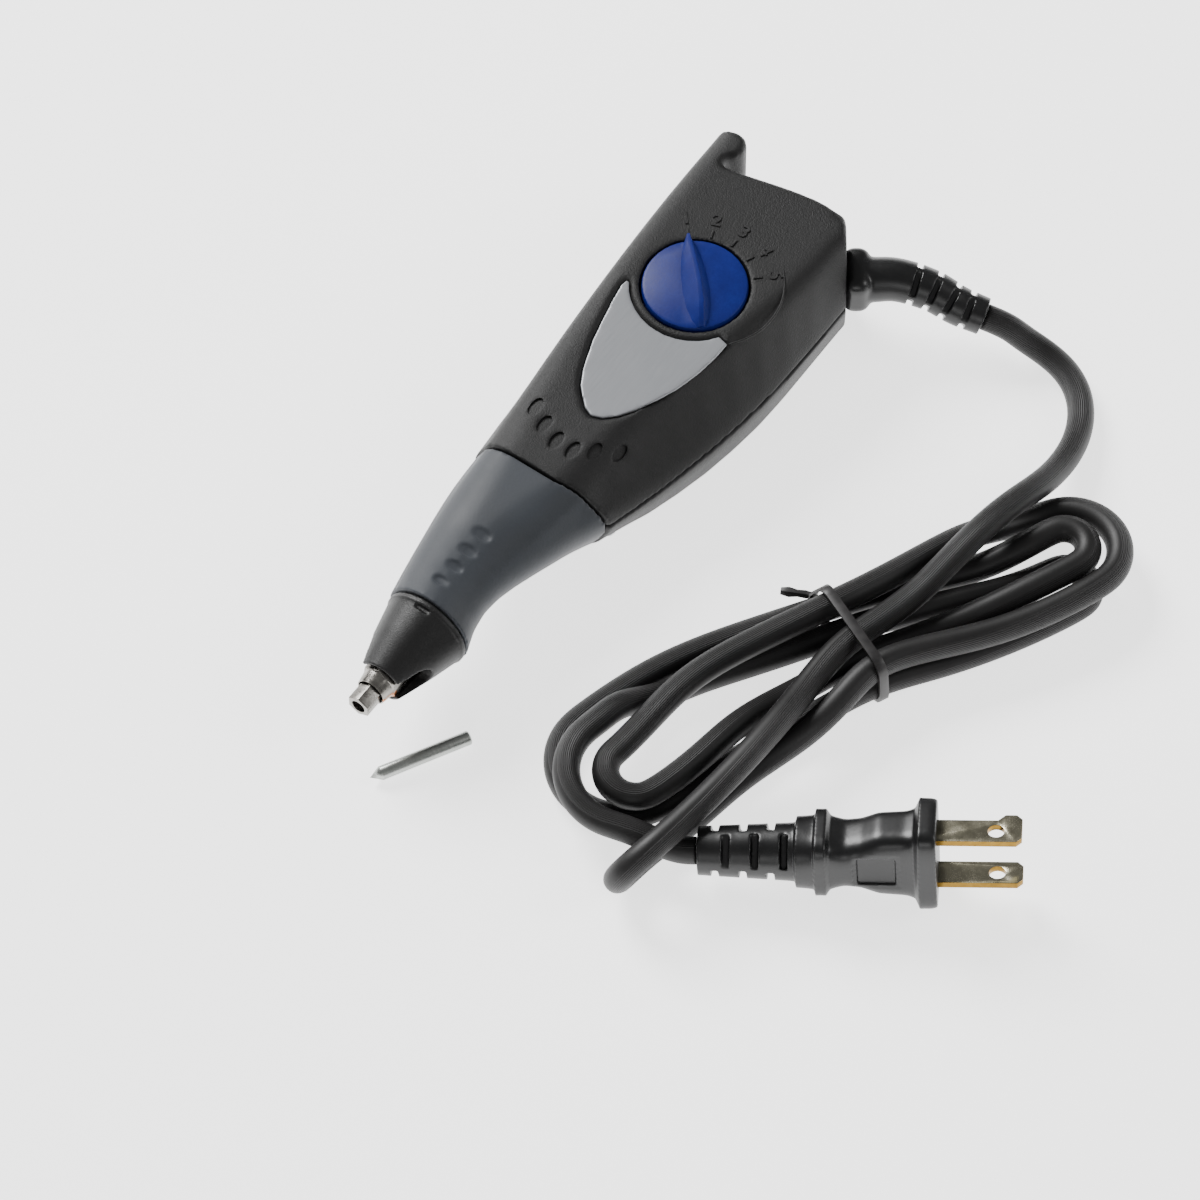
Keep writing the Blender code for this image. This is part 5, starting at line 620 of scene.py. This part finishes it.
def edit(*steps):
    """Does each step, an operator and its settings, to the whole of the active mesh."""
    bpy.ops.object.mode_set(mode="EDIT")
    bpy.ops.mesh.select_all(action="SELECT")
    for operator, settings in steps:
        operator(**settings)
    bpy.ops.object.mode_set(mode="OBJECT")


def settle(piece):
    """Gives a finished part of the scale its place in its own points, its finish and its body."""
    pick(piece)
    bpy.ops.object.transform_apply(location=True, rotation=True, scale=True)
    piece.data.materials.clear()
    piece.data.materials.append(nylon.material)
    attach(piece, "pen")


for number in range(1, FIGURES + 1):
    turn = math.radians(FIRST_TURN - FIGURE_TURN * (number - 1))
    cos, sin = math.cos(turn), math.sin(turn)
    bpy.ops.object.select_all(action="DESELECT")
    bpy.ops.object.text_add(
        location=(FIGURE_RADIUS * cos, FIGURE_RADIUS * sin, TOP),
        rotation=(0, 0, turn - math.pi / 2),
    )
    figure = bpy.context.object
    figure.data.body = str(number)
    figure.data.align_x = "CENTER"
    figure.data.align_y = "CENTER"
    figure.data.size = FIGURE_HEIGHT
    figure.data.offset = FIGURE_BOLD
    figure.data.extrude = FIGURE_RISE
    figure.data.bevel_depth = FIGURE_EDGE
    bpy.ops.object.convert(target="MESH")
    edit((bpy.ops.mesh.remove_doubles, {"threshold": FIGURE_WELD}))
    figure.name = f"scale_figure_{number}"
    settle(figure)
    bpy.ops.object.select_all(action="DESELECT")
    bpy.ops.mesh.primitive_cube_add(
        size=1,
        location=(TICK_RADIUS * cos, TICK_RADIUS * sin, TOP),
        rotation=(0, 0, turn),
        scale=TICK_SIZE,
    )
    tick = bpy.context.object
    tick.name = f"scale_tick_{number}"
    bpy.ops.object.transform_apply(location=False, rotation=False, scale=True)
    edit((bpy.ops.mesh.bevel, {"offset": TICK_EDGE, "segments": 2, "affect": "EDGES"}))
    settle(tick)
line_route = smooth_route([Vector((x, y, LINE_HEIGHT)) * MM for x, y in LINE_PLACES], CURVE_STEPS)
settle(tube("scale_line", line_route, LINE_RADIUS, 10))

# The badge plate: thin sheet, painted satin silver-grey with faint streaks along it, cut out with two
# horns that reach round the dial, and glued in its recess with nothing on it.
satin = Finish("satin_plate", "c3c4c7", 0.38, 0.35)
streak = satin.noise(0.0003, 2, 0.5, (1, 30, 1))
haze = satin.noise(0.02, 2)
satin.shades(streak * 0.3 + haze * 0.7, "898b8e", "95979b")
satin.feed("Roughness", streak * 0.12 + 0.3)
satin.relief(streak, 0.00002, 0.3)
dress("badge_plate", "bare_plate", "plate_silver", satin, sharp=40, smooth=60, skin=0.2 * MM)

# The stroke dial: blue nylon knob with a leaf-shaped finger ridge whose tip points at the scale, moulded
# in one and pressed on its shaft.
blue = Finish("dial_blue", "101e6c", 0.38, Specular_IOR_Level=0.25)
mottle = blue.noise(0.0035, 3)
sheen = blue.noise(0.0004, 2)
blue.shades(mottle * 0.6 + sheen * 0.4, "0a1658", "0e1d6b", "14297f")
blue.feed("Roughness", sheen * 0.14 + 0.36)
blue.relief(sheen, 0.00005, 0.35)
dial_edges = {"flat": 1.0, "soften": 0.35 * MM, "sharp": 28, "smooth": 40, "steps": 3}
dress("stroke_dial", "blue_dial", "dial_blue", blue, **dial_edges)

# The soft grip: matt blue-grey rubber, a sleeve moulded over the housing's core in front of the shells,
# with four lens-shaped dimples in a row on its upper side.
grey = Finish("grip_rubber", "4b525b", 0.62, Sheen_Weight=0.2, Sheen_Roughness=0.5)
bloom = grey.noise(0.014, 3, 0.5)
dust = grey.noise(0.0006, 2)
grey.shades(bloom * 0.75 + dust * 0.25, "20242a", "282d34", "31373f")
grey.feed("Roughness", bloom * 0.2 + 0.5)
grey.relief(dust, 0.00005, 0.4)
dress("grip", "soft_grip", "grey_rubber", grey, sharp=26, smooth=60, skin=0.4 * MM)

# The nose cap: black moulded nylon cone, a little smoother than the housing, snapped over its neck. It
# has a latch notch at its rear edge and a U-shaped slot at its rim.
cone = Finish("cap_nylon", "121212", 0.42, Specular_IOR_Level=0.4)
pit = cone.noise(0.00026, 2, 0.55)
rub = cone.noise(0.01, 3)
cone.shades(pit * 0.4 + rub * 0.6, "0b0b0b", "121212", "1c1b1c")
cone.feed("Roughness", pit * 0.2 + rub * 0.1 + 0.3)
cone.relief(pit, 0.00012, 0.6)
dress("nose_cap", "nose_cone", "black_plastic", cone, sharp=28, smooth=60, skin=0.25 * MM)

# The collet nut and the collet: turned and milled steel, bright and smeared with use, with rings left by
# the lathe. The nut has a copper-coloured bloom low on its front, on the side towards the cord.
PATCH_SIDE = 3.2 * MM
PATCH_TOP = 17.5 * MM
PATCH_REAR = -114.5 * MM
bright = Finish("worn_steel", "c9c6c0", 0.26, 1.0)
lathe = bright.noise(0.00012, 2, 0.5, (40, 1, 40))
smear = bright.noise(0.0022, 4, 0.65)
sideways, lengthways, height = bright.split(bright.node("ShaderNodeTexCoord", out="Object"))
patch = (sideways > PATCH_SIDE) * (height < PATCH_TOP) * (lengthways < PATCH_REAR)
patch = patch * (bright.noise(0.0016, 2) > 0.48)
steel_tone = bright.ramp(smear, "4f4c49", "8e8b86", "b9b6b0")
copper_tone = (*tone("b5713f"), 1)
mixed = bright.node("ShaderNodeMix", {"data_type": "RGBA"}, {0: patch, 6: steel_tone, 7: copper_tone}, 2)
bright.feed("Base Color", mixed)
bright.feed("Roughness", smear * 0.3 + lathe * 0.1 + 0.08)
bright.relief(lathe + smear * 0.4, 0.00004, 0.5)
dress("collet_nut", "bright_nut", "nut_steel", bright, soften=0.15 * MM, sharp=24, smooth=24)
dress("collet", "bright_collet", "nut_steel", bright, soften=0.12 * MM, sharp=24, smooth=24)

# The engraving point: ground steel pin with a cone tip, loose on the table in front of the nose. The
# marks left by the grinding wheel run round it.
POINT_TURN = math.atan2(20.7, 11.3)
ground = Finish("ground_steel", "a9aca8", 0.35, 1.0)
marks = ground.noise(0.0002, 3, 0.6, (1, 14, 14), (0, 0, POINT_TURN))
stain = ground.noise(0.003, 3)
ground.shades(marks * 0.5 + stain * 0.5, "7d817d", "a8aba7", "c6c8c4")
ground.feed("Roughness", marks * 0.25 + 0.22)
ground.relief(marks, 0.00005, 0.5)
dress("engraving_point", "ground_point", "steel", ground, soften=0.12 * MM, sharp=30, smooth=35)

# The strain relief: soft black vinyl, moulded on the cord, smoother and shinier than the housing. A
# flange holds it in the housing's side, and slots are cut in it on four sides, at four stations.
RELIEF_RADIUS = 5.15 * MM
RELIEF_TAPER = 0.17
RELIEF_SIDES = 40
RELIEF_STEPS = 3
# The middle line from the flange to the cord's exit, in millimetres.
RELIEF_LINE = (
    (20.1, 28.9, 15.49),
    (24.66, 32.22, 15.49),
    (26.06, 33.3, 15.54),
    (27.46, 34.38, 15.58),
    (29.03, 35.4, 15.49),
    (31.42, 36.6, 15.12),
    (34.07, 37.7, 14.56),
    (36.63, 38.6, 13.9),
    (38.65, 39.11, 13.23),
    (40.6, 39.46, 12.5),
    (42.54, 39.88, 11.82),
    (44.47, 40.47, 11.26),
    (46.4, 41.14, 10.75),
    (48.33, 41.8, 10.24),
)
SLOTS_FROM_END = (3.9, 8.2, 12.5, 16.8)
SLOT_OUT = 4.9 * MM
SLOT_SIZE = (1.4, 5.8, 3.0)
HOUSING_OUT = Vector((0.809, 0.588, 0))
HOUSING_SIDE = Vector((-0.588, 0.809, 0))
FLANGE_SIZE = Vector((12, 11, 6.4)) * MM
FLANGE_OUT = 2.4 * MM
FLANGE_EDGE = 2.6 * MM
NECK_RADIUS = 3.2 * MM
NECK_LENGTH = 8.4 * MM
NECK_IN = 1.4 * MM
RELIEF_CELL = 0.2 * MM
moulded = Finish("moulded_vinyl", "1f1f20", 0.36, Specular_IOR_Level=0.5)
flow = moulded.noise(0.009, 3)
peel = moulded.noise(0.0009, 2)
moulded.shades(flow * 0.7 + peel * 0.3, "070708", "0d0d0e", "151415")
moulded.feed("Roughness", flow * 0.2 + peel * 0.08 + 0.22)
moulded.relief(peel, 0.00005, 0.3)


def cut_box(piece, middle, sides, size):
    """Cuts a box, its size in millimetres, out of a piece. sides are the box's three directions."""
    bpy.ops.object.select_all(action="DESELECT")
    bpy.ops.mesh.primitive_cube_add(size=1)
    cutter = bpy.context.object
    turn = Matrix(sides).transposed().to_4x4()
    cutter.matrix_world = Matrix.Translation(middle) @ turn @ Matrix.Diagonal((*(Vector(size) * MM), 1))
    cut_away(piece, cutter)


def mould_on_cord(piece, cell, node):
    """Gives a vinyl piece of the cord its skin and finish and its body, and hides the CAD node it stands
    for.
    """
    mould(piece, cell, 40)
    bpy.ops.object.shade_smooth_by_angle(angle=math.radians(60))
    piece.data.materials.clear()
    piece.data.materials.append(moulded.material)
    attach(piece, "pen")
    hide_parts(node)


relief_line = smooth_route([Vector(point) * MM for point in RELIEF_LINE], RELIEF_STEPS)
widths = [1.0 - RELIEF_TAPER * k / (len(relief_line) - 1) for k in range(len(relief_line))]
relief = tube("relief_sleeve", relief_line, RELIEF_RADIUS, RELIEF_SIDES, widths)
for from_end in SLOTS_FROM_END:
    left, at = from_end * MM, len(relief_line) - 1
    while left > (relief_line[at] - relief_line[at - 1]).length:
        left -= (relief_line[at] - relief_line[at - 1]).length
        at -= 1
    way = (relief_line[at] - relief_line[at - 1]).normalized()
    middle = relief_line[at] - way * left
    facing = (LOOK * -1 + way * LOOK.dot(way)).normalized()
    for quarter in range(4):
        out = Matrix.Rotation(math.radians(90 * quarter), 3, way) @ facing
        cut_box(relief, middle + out * SLOT_OUT, (way, out.cross(way), out), SLOT_SIZE)
flange_turn = Matrix((HOUSING_SIDE, Vector((0, 0, 1)), HOUSING_OUT)).transposed().to_4x4()
bpy.ops.object.select_all(action="DESELECT")
bpy.ops.mesh.primitive_cube_add(size=1)
flange = bpy.context.object
flange_place = Matrix.Translation(relief_line[0] + HOUSING_OUT * FLANGE_OUT)
flange.matrix_world = flange_place @ flange_turn @ Matrix.Diagonal((*FLANGE_SIZE, 1))
bpy.ops.object.transform_apply(location=True, rotation=True, scale=True)
edit((bpy.ops.mesh.bevel, {"offset": FLANGE_EDGE, "segments": 6, "affect": "EDGES"}))
bpy.ops.object.select_all(action="DESELECT")
bpy.ops.mesh.primitive_cylinder_add(vertices=32, radius=NECK_RADIUS, depth=NECK_LENGTH)
neck = bpy.context.object
neck.matrix_world = Matrix.Translation(relief_line[0] - HOUSING_OUT * NECK_IN) @ flange_turn
flange.select_set(True)
relief.select_set(True)
bpy.context.view_layer.objects.active = relief
bpy.ops.object.join()
mould_on_cord(relief, RELIEF_CELL, "strain_relief")

# The plug: a flat two-pin plug of the same vinyl, moulded round the cord's end, with a slotted sleeve, two
# collars, a waist for the fingers and a sunk panel on its broad side.
PLUG_ACROSS = Vector((-0.1753, 0.1544, 0.9723))
PLUG_OUT = Vector((0.5185, -0.8251, 0.2245))
PLUG_SIDES = 48
PLUG_CELL = 0.26 * MM
# Its outline from the cord's end, in millimetres: place along, width, thickness and squareness.
PLUG_RINGS = (
    (0.0, 10.5, 10.5, 2.0),
    (20.7, 12.6, 12.6, 2.0),
    (20.9, 14.4, 14.4, 2.4),
    (24.8, 14.4, 14.4, 2.8),
    (25.0, 16.0, 15.2, 4.0),
    (27.3, 16.0, 15.2, 4.0),
    (28.2, 13.2, 13.3, 4.0),
    (31.2, 12.0, 12.7, 3.4),
    (34.6, 13.6, 12.2, 3.4),
    (38.4, 17.3, 11.9, 4.0),
    (44.3, 17.9, 11.9, 4.5),
    (46.1, 18.9, 12.7, 4.5),
    (47.1, 23.0, 15.5, 5.0),
    (50.1, 23.0, 15.5, 5.0),
    (50.9, 22.1, 14.8, 5.0),
)
# The panel is two boxes, one within the other: place out, place along, width, depth and length.
PANEL_BOXES = (
    (6.2, 38.1, 9.8, 0.9, 10.2),
    (6.0, 38.1, 7.6, 1.9, 8.2),
)
# The sleeve's slots: the side they are on in degrees from the broad one, and their places along.
SLEEVE_SLOTS = ((-45, (6.1, 12.3, 18.5)), (45, (3.7, 9.7, 15.6)))
SLEEVE_SLOT_OUT = 5.9
SLEEVE_SLOT_SIZE = (7.4, 3.4, 1.6)
plug_frame = Matrix((PLUG_ACROSS, PLUG_OUT, PLUG_WAY)).transposed().to_4x4()
plug_frame.translation = PLUG_BACK
shape = bmesh.new()
rings = []
for along, width, thick, power in PLUG_RINGS:
    ring = []
    for k in range(PLUG_SIDES):
        cos, sin = math.cos(math.tau * k / PLUG_SIDES), math.sin(math.tau * k / PLUG_SIDES)
        x = math.copysign(abs(cos) ** (2 / power), cos) * width / 2
        y = math.copysign(abs(sin) ** (2 / power), sin) * thick / 2
        ring.append(shape.verts.new(plug_frame @ (Vector((x, y, along)) * MM)))
    rings.append(ring)
for one, two in zip(rings, rings[1:]):
    for k in range(PLUG_SIDES):
        shape.faces.new((one[k - 1], one[k], two[k], two[k - 1]))
shape.faces.new(rings[0][::-1])
shape.faces.new(rings[-1])
plug = add_mesh("moulded_plug", shape)
cuts = [(0, out, along, (wide, deep, long)) for out, along, wide, deep, long in PANEL_BOXES]
for turn, places in SLEEVE_SLOTS:
    for along in places:
        cuts += [(turn + flip, SLEEVE_SLOT_OUT, along, SLEEVE_SLOT_SIZE) for flip in (0, 180)]
for turn, out, along, size in cuts:
    turned = plug_frame @ Matrix.Rotation(math.radians(turn), 4, "Z")
    sides = [turned.to_3x3().col[i] for i in range(3)]
    cut_box(plug, turned @ (Vector((0, out, along)) * MM), sides, size)
mould_on_cord(plug, PLUG_CELL, "plug_body")

# The plug's two blades: brass stampings, nickel-plated, set in the plug as it is moulded. The plating is
# rubbed through to the brass at their edges.
# A broad face looks this far across the plug, and an edge less.
BROAD_FACE = 0.8
nickel = Finish("plug_nickel", "a9a48f", 0.24, 1.0)
rubbed = nickel.noise(0.0025, 4, 0.6)
drawn = nickel.noise(0.00018, 2, 0.5, (20, 20, 1), (0, math.radians(90), math.radians(33)))
nickel.shades(rubbed * 0.7 + drawn * 0.3, "7c7765", "a8a38e", "cbc6b2")
nickel.feed("Roughness", rubbed * 0.25 + 0.12)
nickel.relief(drawn, 0.00003, 0.4)
brass = Finish("rubbed_brass", "c6a250", 0.3, 1.0)
brass.shades(brass.noise(0.0015, 3), "6f5420", "9c7a36")
for side in ("line", "neutral"):
    blade = dress(f"plug_blade_{side}", f"blade_{side}", "blade_nickel", nickel, flat=1.0, soften=0.1 * MM)
    blade.data.materials.append(brass.material)
    for face in blade.data.polygons:
        face.material_index = int(abs(face.normal.dot(PLUG_ACROSS)) < BROAD_FACE)

# The twist tie: flat black vinyl strip with a wire core, bent round the hank's waist and twisted shut. It
# is the last thing on the cord, so the cord's length is summed after it.
strip = Finish("tie_vinyl", "222122", 0.4)
wrinkle = strip.noise(0.002, 3)
strip.shades(wrinkle, "1a191a", "2e2c2c")
strip.feed("Roughness", wrinkle * 0.3 + 0.3)
strip.relief(wrinkle, 0.0001, 0.3)
tie = dress("twist_tie", "waist_tie", "soft_rubber", strip, soften=0.2 * MM, sharp=50, smooth=60)
cord_length = sum((b - a).length for a, b in zip(cord_route, cord_route[1:]))

# The screws, shafts, the clip, the lever and the cord's clamp: plated steel, turned or stamped. The
# screws hold the two shells together from below, the core in its place and the clamp on the cord.
PLATED_NODES = (
    "housing_screw_rear",
    "housing_screw_side",
    "housing_screw_front_left",
    "housing_screw_front_right",
    "core_screw_left",
    "core_screw_right",
    "clamp_screw_left",
    "clamp_screw_right",
    "dial_shaft",
    "dial_clip",
    "pivot_pin",
    "spindle",
    "armature_lever",
    "cord_clamp",
)
plated = Finish("plated_steel", "8f9093", 0.3, 1.0)
worn = plated.noise(0.0012, 3, 0.6)
plated.shades(worn, "77787b", "a2a3a6")
plated.feed("Roughness", worn * 0.25 + 0.2)
plated.relief(worn, 0.00003, 0.4)


def finish_nodes(finish, *nodes):
    """Gives CAD nodes whose shape is right as it is a finish."""
    for node in nodes:
        frame["nodes"][node].data.materials.clear()
        frame["nodes"][node].data.materials.append(finish.material)


finish_nodes(plated, *PLATED_NODES)

# The return spring: plated steel wire, wound cold and held at its upper end. The lever's foot presses it
# together from below as the armature rocks.
spring = dress("return_spring", "coil_spring", "steel", plated, smooth=60)
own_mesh(spring)

# The magnet inside: core and armature of stacked iron sheets, and enamelled copper wire wound on a nylon
# former, with white lead wires. The spindle runs in two sintered bronze bushings, and a rubber bumper
# stops the armature.
iron = Finish("stacked_iron", "565656", 0.5, 0.9)
stack = iron.noise(0.0004, 1, 0.5, (60, 60, 1))
iron.shades(stack, "3b3b3c", "6e6e6e")
iron.relief(stack, 0.0001, 0.6)
copper_wire = Finish("enamelled_copper", "b0622d", 0.3, 0.9)
turns = copper_wire.noise(0.0003, 1, 0.5, (60, 1, 60))
copper_wire.shades(turns, "7c3f1a", "c77738")
copper_wire.relief(turns, 0.0002, 0.8)
former = Finish("former_nylon", "d6cfb8", 0.5)
former.shades(former.noise(0.004, 3), "cbc4ad", "ddd7c2")
bronze = Finish("bushing_bronze", "a5793c", 0.45, 0.9)
bronze.shades(bronze.noise(0.0006, 3), "8a6330", "b98c4b")
bumper = Finish("bumper_rubber", "242424", 0.75)
bumper.shades(bumper.noise(0.001, 3), "1d1d1d", "2d2d2d")
insulation = Finish("wire_insulation", "dcdcd8", 0.45)
insulation.shades(insulation.noise(0.003, 3), "d0d0cc", "e3e3df")
finish_nodes(iron, "field_core", "armature_iron")
finish_nodes(copper_wire, "coil_winding")
finish_nodes(former, "coil_bobbin")
finish_nodes(bronze, "front_bushing", "rear_bushing")
finish_nodes(bumper, "rubber_bumper")
finish_nodes(insulation, "lead_wire_line", "lead_wire_neutral")
